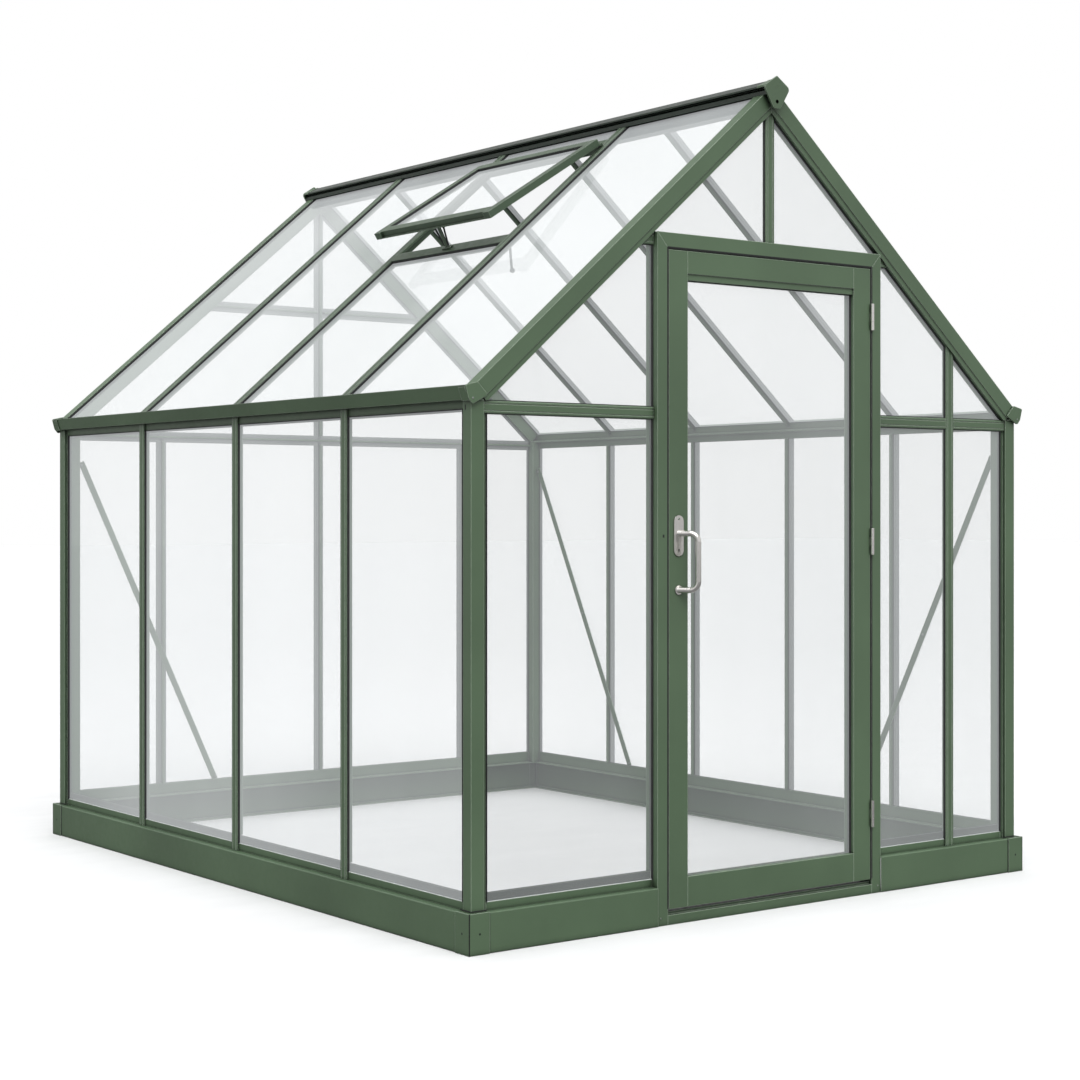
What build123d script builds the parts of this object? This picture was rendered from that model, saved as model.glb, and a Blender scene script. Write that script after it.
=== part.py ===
from build123d import *
from math import cos, radians, sin, tan
import os

# Aluminium greenhouse with a gabled glass roof. Millimetres, +Z up, the door in the front wall (-Y).
# The origin lies on the ground, at the centre of the ground plan's box.

# Overall size
plinth_width = 2170
plinth_length = 2600
plinth_height = 108
wall_setback = 16
wall_top = 1450
roof_pitch = 40.6

# Bays of each side, and where the other upright bars stand
left_bays = 4
right_bays = 5
back_end_pane = 394
front_end_pane = 299
vent_bay = 1

# Plinth channel, corner covers and threshold
channel_wall = 3
channel_lip = 40
channel_rounding = 2.5
cover_reach = 63
cover_thickness = 3
cover_rise = 2
threshold_height = 36
threshold_depth = 46
threshold_step_rise = 8
threshold_step_depth = 12

# Glazing bars, depths counted inwards from the wall's outer face
cap_width = 34
cap_face = 4
cap_thickness = 7
cap_bevel = 2.5
cap_groove_place = 9
cap_groove_width = 2
cap_groove_depth = 1.2
lip_width = 4
web_thickness = 6
web_depth = 22
seal_thickness = 3
glass_thickness = 4
glass_clearance = 0.5
glass_bite = 10
pane_gap = 1

# Sill and eave rails
rail_depth = 30
rail_wall = 3
rail_base = 4
sill_lip = 22
sill_upstand = 45
eave_lip = 22
eave_upstand = 28

# Corner posts
post_width = 55
post_depth = 50
post_wall = 3
post_strip = 13

# Gable rafters
rake_width = 40
rake_depth = 60
rake_stand_out = 6
rake_bead = 15
rake_bead_setback = 3
rake_wall = 3
rake_seat = 6

# Gutters and their end caps
eave_inset = 14
gutter_base_inner = 36
gutter_base_outer = 10
gutter_lip_out = 23
gutter_lip_height = 38
gutter_wall = 3
gutter_upstand_out = 16
gutter_cap_thickness = 6
gutter_cap_rounding = 5
gutter_cap_peak = 47
gutter_cap_margin = 3
gutter_cap_drop = 12
gutter_cap_inner = 47
gutter_cap_shoulder = 14
gutter_sleeve_length = 30
gutter_sleeve_wall = 3
roof_glass_overhang = 3

# Ridge
ridge_body_width = 40
ridge_body_depth = 66
ridge_hat_rise = 17
ridge_hat_half = 45
ridge_hat_drop = 23
ridge_hat_edge = 5
ridge_recess_half = 28
ridge_strip_half = 38
ridge_strip_thickness = 9
ridge_overhang = 20
shield_thickness = 6
shield_half = 51
shield_height = 95
shield_shoulder = 33
shield_tip_half = 13
shield_rise = 8
shield_rounding = 12
shield_tip_rounding = 10
ridge_sleeve_length = 30
ridge_sleeve_wall = 2

# Door frame and leaf
frame_half = 443
jamb_width = 38
head_height = 42
frame_top_gap = 2
frame_depth = 50
frame_stand_out = 12
door_gap = 5
leaf_setback = 2
leaf_depth = 40
leaf_bottom = 44
stile_width = 70
top_rail_height = 82
bottom_rail_height = 85
door_glass_bite = 8
door_bead_height = 18
door_bead_setback = 4
member_wall = 3

# Hinges
hinge_heights = (243, 1067, 1746)
hinge_length = 80
knuckle_radius = 5.5
hinge_pin_radius = 2.5
hinge_pin_clearance = 0.3
knuckle_gap = 0.4
hinge_leaf = 1.5
hinge_leaf_depth = 25

# Pull handle
handle_offset = 35
handle_plate_width = 35
handle_plate_height = 115
handle_plate_thickness = 3
handle_plate_bottom = 1032
handle_radius = 8.5
handle_stand_off = 46
handle_reach = 34
handle_top = 1096
handle_bottom = 937
handle_bend = 24
handle_root = 9
rosette_radius = 13

# Roof vent, standing open
vent_hinge_distance = 150
vent_length = 485
vent_angle = 8.5
vent_stile_width = 30
vent_rail_width = 34
vent_thickness = 22
vent_side_gap = 3
vent_bar_width = 40
vent_bar_depth = 24
vent_roll_radius = 6
vent_seat_clearance = 0.3
vent_stile_overhang = 10
drip_reach = 9
drip_thickness = 2
stay_width = 14
stay_thickness = 5
stay_foot_length = 44
stay_foot_height = 5

# Diagonal braces
brace_width = 22
brace_thickness = 3
brace_run = 660
brace_foot_height = 155
brace_head_height = 1335

# Collar bar of the back gable, and how far the door head's stubs lie under its top
collar_height = 1930
stub_drop = 2

# Places that follow from the sizes above
pitch = radians(roof_pitch)
half_wall = plinth_width / 2 - wall_setback
wall_length = plinth_length - 2 * wall_setback
handle_out = handle_stand_off + handle_radius - leaf_setback + frame_stand_out
ridge_out = ridge_overhang + shield_thickness
front_face = -wall_length / 2 + (handle_out - ridge_out) / 2
back_face = front_face + wall_length
middle = (front_face + back_face) / 2
cap_back = cap_face + cap_thickness
glass_face = cap_back + seal_thickness
glass_back = glass_face + glass_thickness
slot_width = glass_thickness + glass_clearance
frame_face = front_face - frame_stand_out
front_bar_offset = half_wall - front_end_pane
back_bar_offset = half_wall - back_end_pane
sill_glass_bottom = plinth_height + rail_base
eave_line = wall_top + rake_depth * cos(pitch)
ridge_line = eave_line + (half_wall - eave_inset) * tan(pitch)
transom_height = wall_top - cap_width / 2
frame_top = ridge_line - frame_half * tan(pitch) - rake_depth / cos(pitch) - frame_top_gap
frame_inner = frame_half - jamb_width
frame_opening_top = frame_top - head_height
leaf_half = frame_inner - door_gap
leaf_top = frame_opening_top - door_gap
hinge_x = frame_inner - door_gap / 2
hinge_y = frame_face - knuckle_radius
left_pitch = wall_length / left_bays
right_pitch = wall_length / right_bays
left_bar_places = [front_face + left_pitch * (i + 1) for i in range(left_bays - 1)]
right_bar_places = [front_face + right_pitch * (i + 1) for i in range(right_bays - 1)]
roof_glass_depth = cap_thickness + seal_thickness
roof_glass_back = roof_glass_depth + glass_thickness
up = Vector(0, 0, 1)
inward = {
    "left": Vector(1, 0, 0),
    "right": Vector(-1, 0, 0),
    "front": Vector(0, 1, 0),
    "back": Vector(0, -1, 0),
}


def wall_point(side, along, depth, height):
    """A point at a depth behind a wall's outer face."""
    if side == "left":
        return Vector(-half_wall + depth, along, height)
    if side == "right":
        return Vector(half_wall - depth, along, height)
    if side == "front":
        return Vector(along, front_face + depth, height)
    return Vector(along, back_face - depth, height)


def upright_plane(side, along, height):
    """Level plane for uprights: local x runs along the wall, local y goes inwards."""
    return Plane(
        origin=wall_point(side, along, 0, height),
        x_dir=inward[side].cross(up),
        z_dir=up,
    )


def rail_plane(side, along, height, direction=1):
    """Cross plane for rails: local x goes inwards, local y goes up, or down with direction -1."""
    return Plane(
        origin=wall_point(side, along, 0, height),
        x_dir=inward[side],
        z_dir=inward[side].cross(up * direction),
    )


def crossbar_plane(side, along, height):
    """Cross plane for level glazing bars: local x is vertical, local y goes inwards."""
    return Plane(
        origin=wall_point(side, along, 0, height),
        x_dir=up * -1,
        z_dir=inward[side].cross(up),
    )


def slope_plane(sign, along, distance, depth=0):
    """Cross plane of a roof slope: local y goes into the roof, z runs down the slope."""
    down_slope = Vector(sign * cos(pitch), 0, -sin(pitch))
    into_roof = Vector(-sign * sin(pitch), 0, -cos(pitch))
    start = Vector(0, along, ridge_line) + down_slope * distance + into_roof * depth
    return Plane(origin=start, x_dir=(0, -sign, 0), z_dir=down_slope)


def slope_height(x, depth):
    """Height of the plane that lies at a depth under the roof's top plane."""
    return ridge_line - abs(x) * tan(pitch) - depth / cos(pitch)


def slope_face(sign, depth):
    """The plane at a depth under a roof slope's top plane, its normal pointing out of the roof."""
    return Plane(
        origin=(0, 0, slope_height(0, depth)),
        x_dir=(0, 1, 0),
        z_dir=(sign * sin(pitch), 0, cos(pitch)),
    )


def cap_section(face):
    """Bevelled cap of a glazing bar, its outer face at a depth behind the wall or the roof."""
    with Locations((0, face + cap_bevel)):
        Rectangle(cap_width, cap_thickness - cap_bevel, align=(Align.CENTER, Align.MIN))
        Trapezoid(cap_width, cap_bevel, 45, rotation=180, align=(Align.CENTER, Align.MIN))
    with Locations((-cap_groove_place, face), (cap_groove_place, face)):
        Rectangle(
            cap_groove_width,
            2 * cap_groove_depth,
            mode=Mode.SUBTRACT,
        )


def lip_section(face):
    """The two lips that press on the panes."""
    lip_middle = face + cap_thickness + seal_thickness / 2
    for hand in (-1, 1):
        with Locations((hand * (cap_width - lip_width) / 2, lip_middle)):
            Rectangle(lip_width, seal_thickness)


def web_section(face):
    """The web between the panes."""
    with Locations((0, face + cap_thickness + web_depth / 2)):
        Rectangle(web_thickness, web_depth)


def add_length(plane, section, face, length):
    """Extrude one section of a glazing bar from a plane."""
    with BuildSketch(plane) as profile:
        section(face)
    extrude(profile.sketch, amount=length)


def add_upright_bar(side, along, cap_range, lip_range, web_range):
    """A glazing bar whose cap, lips and web each have their own foot and head."""
    for section, (foot, head) in (
        (web_section, web_range),
        (lip_section, lip_range),
        (cap_section, cap_range),
    ):
        add_length(upright_plane(side, along, foot), section, cap_face, head - foot)


def add_crossbar(side, start, end, height, cap_over=0):
    """A level glazing bar; its cap may run on over a post's strip, before start or past end."""
    cap_start = min(start, end) + min(cap_over, 0)
    cap_end = max(start, end) + max(cap_over, 0)
    with BuildSketch(crossbar_plane(side, (cap_start + cap_end) / 2, height)) as profile:
        cap_section(cap_face)
    extrude(profile.sketch, amount=(cap_end - cap_start) / 2, both=True)
    with BuildSketch(crossbar_plane(side, (start + end) / 2, height)) as profile:
        lip_section(cap_face)
        web_section(cap_face)
    extrude(profile.sketch, amount=abs(end - start) / 2, both=True)


def rail_section(lip, upstand):
    """Glazing rail: a base, an outer lip and an inner upstand with the glass between."""
    with Locations((cap_back, 0)):
        Rectangle(rail_depth, rail_base, align=(Align.MIN, Align.MIN))
        Rectangle(seal_thickness, lip, align=(Align.MIN, Align.MIN))
    with Locations((glass_back + glass_clearance, 0)):
        Rectangle(rail_wall, upstand, align=(Align.MIN, Align.MIN))


def add_rail(side, start, end, height, direction, lip, upstand):
    """A sill rail, or with direction -1 an eave rail, between two places along the wall."""
    with BuildSketch(rail_plane(side, (start + end) / 2, height, direction)) as profile:
        rail_section(lip, upstand)
    extrude(profile.sketch, amount=abs(end - start) / 2, both=True)


def add_block(low, high):
    """A block between two corners, in the axes of the whole house."""
    centre = (Vector(*low) + Vector(*high)) * 0.5
    size = Vector(*high) - Vector(*low)
    with Locations(centre):
        Box(size.X, size.Y, size.Z)


def add_pane(side, start, end, bottom, top):
    """A rectangular pane of a wall."""
    with BuildSketch(upright_plane(side, (start + end) / 2, bottom)) as profile:
        with Locations((0, glass_face + glass_thickness / 2)):
            Rectangle(abs(end - start), glass_thickness)
    extrude(profile.sketch, amount=top - bottom)


def add_gable_pane(side, corners):
    """A pane of a gable, from the corners of its outline as (x, z)."""
    outline = [wall_point(side, x, glass_face, z) for x, z in corners]
    face = Face(Wire.make_polygon(outline))
    extrude(face, amount=glass_thickness, dir=inward[side])


def add_roof_pane(sign, start, end, top, bottom):
    """A pane of a roof slope, between two distances down the slope."""
    with BuildSketch(slope_plane(sign, (start + end) / 2, top, roof_glass_depth)) as profile:
        with Locations((0, glass_thickness / 2)):
            Rectangle(abs(end - start), glass_thickness)
    extrude(profile.sketch, amount=bottom - top)


def save(builder, name):
    """Name a finished piece and write it."""
    builder.part.label = name
    export_step(builder.part, f"parts/{name}.step")


os.makedirs("parts", exist_ok=True)

# Plinth: channels with their open side inwards, the side ones running the whole length
def channel_section():
    with Locations((-wall_setback, 0)):
        Rectangle(channel_wall, plinth_height, align=(Align.MIN, Align.MIN))
        Rectangle(channel_lip, channel_wall, align=(Align.MIN, Align.MIN))
    with Locations((-wall_setback, plinth_height)):
        Rectangle(channel_lip, channel_wall, align=(Align.MIN, Align.MAX))


def add_channel(side, start, end):
    with BuildSketch(rail_plane(side, (start + end) / 2, 0)) as profile:
        channel_section()
        fillet(profile.vertices().sort_by(Axis.X)[:2], radius=channel_rounding)
    extrude(profile.sketch, amount=abs(end - start) / 2, both=True)


channel_end = plinth_width / 2 - channel_lip

with BuildPart() as plinth_sides:
    for side in ("left", "right"):
        add_channel(side, front_face - wall_setback, back_face + wall_setback)
save(plinth_sides, "plinth_sides")

with BuildPart() as plinth_ends:
    add_channel("back", -channel_end, channel_end)
    add_channel("front", -channel_end, -frame_half)
    add_channel("front", frame_half, channel_end)
save(plinth_ends, "plinth_ends")

with BuildPart() as plinth_corners:
    for x_side in (-1, 1):
        for y_side in (-1, 1):
            corner_x = x_side * plinth_width / 2
            corner_y = middle + y_side * plinth_length / 2
            outline = [
                (0, 0),
                (-cover_reach, 0),
                (-cover_reach, cover_thickness),
                (cover_thickness, cover_thickness),
                (cover_thickness, -cover_reach),
                (0, -cover_reach),
            ]
            with BuildSketch(Plane.XY):
                with BuildLine():
                    Polyline(
                        *[(corner_x + x_side * a, corner_y + y_side * b) for a, b in outline],
                        close=True,
                    )
                make_face()
            extrude(amount=plinth_height + cover_rise)
save(plinth_corners, "plinth_corners")

with BuildPart() as threshold:
    with BuildSketch(rail_plane("front", 0, 0)):
        low_height = threshold_height - threshold_step_rise
        with Locations((-frame_stand_out, 0)):
            Rectangle(threshold_depth, low_height, align=(Align.MIN, Align.MIN))
        with Locations((threshold_step_depth - frame_stand_out, 0)):
            high_depth = threshold_depth - threshold_step_depth
            Rectangle(high_depth, threshold_height, align=(Align.MIN, Align.MIN))
    extrude(amount=frame_inner, both=True)
save(threshold, "threshold")

# Corner posts: hollow, with a set-back strip and a slot on each inner side for the edge of a pane
def add_post(x_side, side):
    y_side = 1 if side == "front" else -1
    corner = wall_point(side, x_side * half_wall, 0, plinth_height)
    slot_depth = glass_face + slot_width / 2
    pocket_width = post_width - post_strip - 2 * post_wall
    pocket_depth = cap_back - 2 * post_wall
    chamber_start = glass_face + slot_width + post_wall
    chamber_width = post_width - post_wall - chamber_start
    chamber_depth = post_depth - post_wall - chamber_start
    with BuildSketch(Plane(origin=corner, x_dir=(1, 0, 0), z_dir=(0, 0, 1))) as profile:
        with Locations((-x_side * post_width / 2, y_side * post_depth / 2)):
            Rectangle(post_width, post_depth)
        with Locations((-x_side * (post_width - glass_bite / 2), y_side * slot_depth)):
            Rectangle(glass_bite, slot_width, mode=Mode.SUBTRACT)
        with Locations((-x_side * slot_depth, y_side * (post_depth - glass_bite / 2))):
            Rectangle(slot_width, glass_bite, mode=Mode.SUBTRACT)
        with Locations((-x_side * (post_wall + pocket_width / 2), y_side * cap_back / 2)):
            Rectangle(pocket_width, pocket_depth, mode=Mode.SUBTRACT)
        with Locations(
            (
                -x_side * (chamber_start + chamber_width / 2),
                y_side * (chamber_start + chamber_depth / 2),
            )
        ):
            Rectangle(chamber_width, chamber_depth, mode=Mode.SUBTRACT)
        with Locations((-x_side * (post_width - post_strip / 2), y_side * cap_back / 2)):
            Rectangle(post_strip, cap_back, mode=Mode.SUBTRACT)
        with Locations((-x_side * cap_back / 2, y_side * (post_depth - post_strip / 2))):
            Rectangle(cap_back, post_strip, mode=Mode.SUBTRACT)
    extrude(profile.sketch, amount=wall_top - plinth_height)


for side, name in (("front", "front_posts"), ("back", "back_posts")):
    with BuildPart() as posts:
        for x_side in (-1, 1):
            add_post(x_side, side)
    save(posts, name)

# Sill rails on the plinth and eave rails under the gutters
side_start = front_face + post_depth
side_end = back_face - post_depth
end_reach = half_wall - post_width

with BuildPart() as side_sills:
    for side in ("left", "right"):
        add_rail(side, side_start, side_end, plinth_height, 1, sill_lip, sill_upstand)
save(side_sills, "side_sills")

with BuildPart() as end_sills:
    add_rail("back", -end_reach, end_reach, plinth_height, 1, sill_lip, sill_upstand)
    add_rail("front", -end_reach, -frame_half, plinth_height, 1, sill_lip, sill_upstand)
    add_rail("front", frame_half, end_reach, plinth_height, 1, sill_lip, sill_upstand)
save(end_sills, "end_sills")

with BuildPart() as side_eave_rails:
    for side in ("left", "right"):
        add_rail(side, side_start, side_end, wall_top, -1, eave_lip, eave_upstand)
save(side_eave_rails, "side_eave_rails")

# Wall bars: caps run over the rails, lips and webs stop at them
sill_lip_top = plinth_height + sill_lip
sill_top = plinth_height + sill_upstand
eave_lip_foot = wall_top - eave_lip
eave_foot = wall_top - eave_upstand
transom_foot = transom_height - cap_width / 2
transom_head = transom_height + cap_width / 2

for side, name, places in (
    ("left", "left_wall_bars", left_bar_places),
    ("right", "right_wall_bars", right_bar_places),
):
    with BuildPart() as wall_bars:
        for place in places:
            add_upright_bar(
                side,
                place,
                (plinth_height, wall_top),
                (sill_lip_top, eave_lip_foot),
                (sill_top, eave_foot),
            )
    save(wall_bars, name)

back_bar_places = (-back_bar_offset, 0, back_bar_offset)

with BuildPart() as back_wall_bars:
    for place in back_bar_places:
        add_upright_bar(
            "back",
            place,
            (plinth_height, transom_foot),
            (sill_lip_top, transom_foot),
            (sill_top, transom_foot),
        )
save(back_wall_bars, "back_wall_bars")

rake_foot_height = slope_height(front_bar_offset - cap_width / 2, rake_depth)

with BuildPart() as front_wall_bar:
    add_upright_bar(
        "front",
        front_bar_offset,
        (plinth_height, rake_foot_height + cap_width),
        (sill_lip_top, rake_foot_height + cap_width),
        (sill_top, rake_foot_height + cap_width),
    )
    split(bisect_by=slope_face(1, rake_depth), keep=Keep.BOTTOM)
save(front_wall_bar, "front_wall_bar")

with BuildPart() as front_transoms:
    bar_half = cap_width / 2
    add_crossbar("front", -end_reach, -frame_half, transom_height, -post_strip)
    add_crossbar("front", frame_half, front_bar_offset - bar_half, transom_height)
    add_crossbar("front", front_bar_offset + bar_half, end_reach, transom_height, post_strip)
save(front_transoms, "front_transoms")

with BuildPart() as back_transom:
    add_crossbar("back", -end_reach, 0, transom_height, -post_strip)
    add_crossbar("back", 0, end_reach, transom_height, post_strip)
save(back_transom, "back_transom")

# King posts, cut to a point under the two rafters
ridge_under = slope_height(0, rake_depth)

with BuildPart() as king_posts:
    for side, foot in (("front", frame_top), ("back", transom_head)):
        reach = (foot, ridge_under)
        add_upright_bar(side, 0, reach, reach, reach)
    for sign in (-1, 1):
        split(bisect_by=slope_face(sign, rake_depth), keep=Keep.BOTTOM)
save(king_posts, "king_posts")

# Collar bar of the back gable and the stubs between the door head and the rafters
collar_reach = (ridge_line - collar_height) / tan(pitch)

with BuildPart() as back_collar:
    for hand in (-1, 1):
        add_crossbar("back", hand * cap_width / 2, hand * collar_reach, collar_height)
    for sign in (-1, 1):
        split(bisect_by=slope_face(sign, rake_depth), keep=Keep.BOTTOM)
save(back_collar, "back_collar")

stub_height = frame_top - cap_width / 2 - stub_drop
stub_reach = (ridge_line - stub_height) / tan(pitch)

with BuildPart() as head_stubs:
    for hand in (-1, 1):
        add_crossbar("front", hand * frame_half, hand * stub_reach, stub_height)
    for sign in (-1, 1):
        split(bisect_by=slope_face(sign, rake_depth), keep=Keep.BOTTOM)
save(head_stubs, "head_stubs")

# Gable rafters: slots for the roof glass and the gable glass, mitred on the centre line
rake_length = (half_wall - eave_inset) / cos(pitch) + rake_seat
rake_inner = rake_width - rake_stand_out


def rake_section(into):
    """Section of a rafter; into is the side of local x that faces the room."""
    with Locations((into * (rake_width / 2 - rake_stand_out), rake_depth / 2)):
        Rectangle(rake_width, rake_depth)
    slot_y = roof_glass_depth + slot_width / 2
    with Locations((into * (rake_inner - glass_bite / 2), slot_y)):
        Rectangle(glass_bite, slot_width, mode=Mode.SUBTRACT)
    with Locations((into * (glass_face + slot_width / 2), rake_depth - glass_bite / 2)):
        Rectangle(slot_width, glass_bite, mode=Mode.SUBTRACT)
    bead_x = rake_bead_setback / 2 - rake_stand_out
    with Locations((into * bead_x, rake_depth - rake_bead / 2)):
        Rectangle(rake_bead_setback, rake_bead, mode=Mode.SUBTRACT)
    front_start = rake_wall - rake_stand_out
    front_width = glass_face - rake_wall - front_start
    front_depth = rake_depth - rake_bead - 2 * rake_wall
    with Locations((into * (front_start + front_width / 2), rake_wall + front_depth / 2)):
        Rectangle(front_width, front_depth, mode=Mode.SUBTRACT)
    back_width = rake_inner - rake_wall - glass_face
    back_top = roof_glass_depth + slot_width + rake_wall
    back_depth = rake_depth - glass_bite - rake_wall - back_top
    with Locations((into * (glass_face + back_width / 2), back_top + back_depth / 2)):
        Rectangle(back_width, back_depth, mode=Mode.SUBTRACT)


for sign, name in ((-1, "left_rakes"), (1, "right_rakes")):
    with BuildPart() as rakes:
        for face_y, into in ((front_face, -sign), (back_face, sign)):
            with BuildSketch(slope_plane(sign, face_y, 0)):
                rake_section(into)
            extrude(amount=rake_length)
        split(bisect_by=Plane(origin=(0, 0, 0), z_dir=(sign, 0, 0)), keep=Keep.TOP)
        split(bisect_by=Plane.XY.offset(wall_top), keep=Keep.TOP)
    save(rakes, name)

# Gutters: a base on posts and eave rail, a leaning outer wall and an upstand under the glass
upstand_inner = half_wall - gutter_upstand_out
upstand_outer = upstand_inner + gutter_wall
gutter_start = front_face - rake_stand_out
gutter_end = back_face + rake_stand_out

with BuildPart() as gutters:
    for sign in (-1, 1):
        base_outer = half_wall + gutter_base_outer
        lip_outer = half_wall + gutter_lip_out
        lip_top = wall_top + gutter_lip_height
        base_top = wall_top + gutter_wall
        outline = [
            (half_wall - gutter_base_inner, wall_top),
            (base_outer, wall_top),
            (lip_outer, lip_top),
            (lip_outer - gutter_wall, lip_top),
            (base_outer - gutter_wall, base_top),
            (upstand_outer, base_top),
            (upstand_outer, slope_height(upstand_outer, roof_glass_back)),
            (upstand_inner, slope_height(upstand_inner, roof_glass_back)),
            (upstand_inner, base_top),
            (half_wall - gutter_base_inner, base_top),
        ]
        with BuildSketch(Plane(origin=(0, gutter_end, 0), x_dir=(1, 0, 0), z_dir=(0, -1, 0))):
            with BuildLine():
                Polyline(*[(sign * x, z) for x, z in outline], close=True)
            make_face()
        extrude(amount=gutter_end - gutter_start)
save(gutters, "gutters")

kite = (
    (-eave_inset, gutter_cap_peak),
    (gutter_lip_out + gutter_cap_margin, gutter_lip_height),
    (gutter_base_outer + 2 * gutter_cap_margin, gutter_wall),
    (gutter_wall, -gutter_cap_drop),
    (-gutter_cap_inner, gutter_cap_shoulder),
)

sleeve = (
    (gutter_lip_out, gutter_lip_height - gutter_cap_rounding),
    (gutter_lip_out + gutter_sleeve_wall, gutter_lip_height - gutter_cap_rounding),
    (gutter_base_outer + gutter_sleeve_wall, -gutter_sleeve_wall),
    (gutter_sleeve_wall, -gutter_sleeve_wall),
    (gutter_sleeve_wall, 0),
    (gutter_base_outer, 0),
)

with BuildPart() as gutter_end_caps:
    for sign in (-1, 1):
        for face_y, direction in ((gutter_start, -1), (gutter_end, 1)):
            cap_plane = Plane(origin=(0, face_y, 0), x_dir=(1, 0, 0), z_dir=(0, -1, 0))
            with BuildSketch(cap_plane) as kite_face:
                with BuildLine():
                    Polyline(
                        *[(sign * (half_wall + a), wall_top + b) for a, b in kite],
                        close=True,
                    )
                make_face()
                fillet(kite_face.vertices(), radius=gutter_cap_rounding)
            extrude(amount=gutter_cap_thickness * -direction)
            with BuildSketch(cap_plane):
                with BuildLine():
                    Polyline(
                        *[(sign * (half_wall + a), wall_top + b) for a, b in sleeve],
                        close=True,
                    )
                make_face()
            extrude(amount=gutter_sleeve_length * direction)
save(gutter_end_caps, "gutter_end_caps")

# Ridge bar: a hat over the rafters and a body between them
hat_top = ridge_line + ridge_hat_rise
shoulder_height = hat_top - ridge_hat_drop
hat_half_outline = [
    (ridge_hat_half, shoulder_height),
    (ridge_hat_half, shoulder_height - ridge_hat_edge),
    (ridge_recess_half, shoulder_height - ridge_hat_edge),
    (ridge_strip_half, slope_height(ridge_strip_half, -ridge_strip_thickness)),
    (ridge_strip_half, slope_height(ridge_strip_half, 0)),
]
ridge_start = front_face - ridge_overhang
ridge_end = back_face + ridge_overhang
body_foot = ridge_line - ridge_body_depth

with BuildPart() as ridge_bar:
    with BuildSketch(Plane(origin=(0, ridge_end, 0), x_dir=(1, 0, 0), z_dir=(0, -1, 0))):
        with BuildLine():
            Polyline(
                (0, hat_top),
                *hat_half_outline,
                (0, ridge_line),
                *[(-x, z) for x, z in reversed(hat_half_outline)],
                close=True,
            )
        make_face()
    extrude(amount=ridge_end - ridge_start)
    add_block(
        (-ridge_body_width / 2, front_face + rake_inner, body_foot),
        (ridge_body_width / 2, back_face - rake_inner, ridge_line),
    )
save(ridge_bar, "ridge_bar")

shield_top = hat_top + shield_rise
shield_outline = [
    (0, shield_top),
    (shield_half, shield_top - shield_shoulder),
    (shield_tip_half, shield_top - shield_height),
    (-shield_tip_half, shield_top - shield_height),
    (-shield_half, shield_top - shield_shoulder),
]

hat_slope = ridge_hat_drop / ridge_hat_half
sleeve_top = hat_top + ridge_sleeve_wall
sleeve_half = ridge_hat_half + ridge_sleeve_wall
sleeve_shoulder = sleeve_top - hat_slope * sleeve_half
sleeve_foot = shoulder_height - ridge_hat_edge

with BuildPart() as ridge_end_caps:
    for face_y, direction in ((ridge_start, -1), (ridge_end, 1)):
        shield_plane = Plane(origin=(0, face_y, 0), x_dir=(1, 0, 0), z_dir=(0, -1, 0))
        with BuildSketch(shield_plane) as shield_face:
            with BuildLine():
                Polyline(*shield_outline, close=True)
            make_face()
            fillet(shield_face.vertices().sort_by(Axis.Y)[:2], radius=shield_tip_rounding)
            fillet(shield_face.vertices().sort_by(Axis.Y)[-3:-1], radius=shield_rounding)
        extrude(amount=shield_thickness * -direction)
        with BuildSketch(shield_plane):
            with BuildLine():
                Polyline(
                    (0, sleeve_top),
                    (sleeve_half, sleeve_shoulder),
                    (sleeve_half, sleeve_foot),
                    (ridge_hat_half, sleeve_foot),
                    (ridge_hat_half, shoulder_height),
                    (0, hat_top),
                    (-ridge_hat_half, shoulder_height),
                    (-ridge_hat_half, sleeve_foot),
                    (-sleeve_half, sleeve_foot),
                    (-sleeve_half, sleeve_shoulder),
                    close=True,
                )
            make_face()
        extrude(amount=ridge_sleeve_length * direction)
save(ridge_end_caps, "ridge_end_caps")

# Roof bars: webs stop at the gutter's upstand, caps and lips run on over it
glass_foot = (half_wall - roof_glass_overhang) / cos(pitch)
body_side = ridge_body_width / 2


for sign, name, places in (
    (-1, "left_roof_bars", left_bar_places),
    (1, "right_roof_bars", right_bar_places),
):
    with BuildPart() as roof_bars:
        for place in places:
            add_length(slope_plane(sign, place, 0), web_section, 0, glass_foot)
        foot_plane = Plane(origin=(sign * upstand_inner, 0, 0), z_dir=(sign, 0, 0))
        split(bisect_by=foot_plane, keep=Keep.BOTTOM)
        for place in places:
            add_length(slope_plane(sign, place, 0), lip_section, 0, glass_foot)
            add_length(slope_plane(sign, place, 0), cap_section, 0, glass_foot)
        head_plane = Plane(origin=(sign * body_side, 0, 0), z_dir=(sign, 0, 0))
        split(bisect_by=head_plane, keep=Keep.TOP)
    save(roof_bars, name)

# Door frame: jambs to the ground, mitred to the head
def add_frame_piece(corners):
    """A frame member from its outline in the wall's plane."""
    outline = [Vector(x, frame_face, z) for x, z in corners]
    face = Face(Wire.make_polygon(outline))
    extrude(face, amount=frame_depth, dir=inward["front"])


with BuildPart() as door_jambs:
    for hand in (-1, 1):
        add_frame_piece(
            [
                (hand * frame_inner, 0),
                (hand * frame_half, 0),
                (hand * frame_half, frame_top),
                (hand * frame_inner, frame_opening_top),
            ]
        )
        slot_inner = hand * (frame_half - glass_bite)
        slot_x = sorted((slot_inner, hand * frame_half))
        with Locations(
            (
                (slot_x[0] + slot_x[1]) / 2,
                front_face + glass_face + slot_width / 2,
                (sill_glass_bottom + frame_top) / 2,
            )
        ):
            Box(glass_bite, slot_width, frame_top - sill_glass_bottom, mode=Mode.SUBTRACT)
save(door_jambs, "door_jambs")

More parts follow.
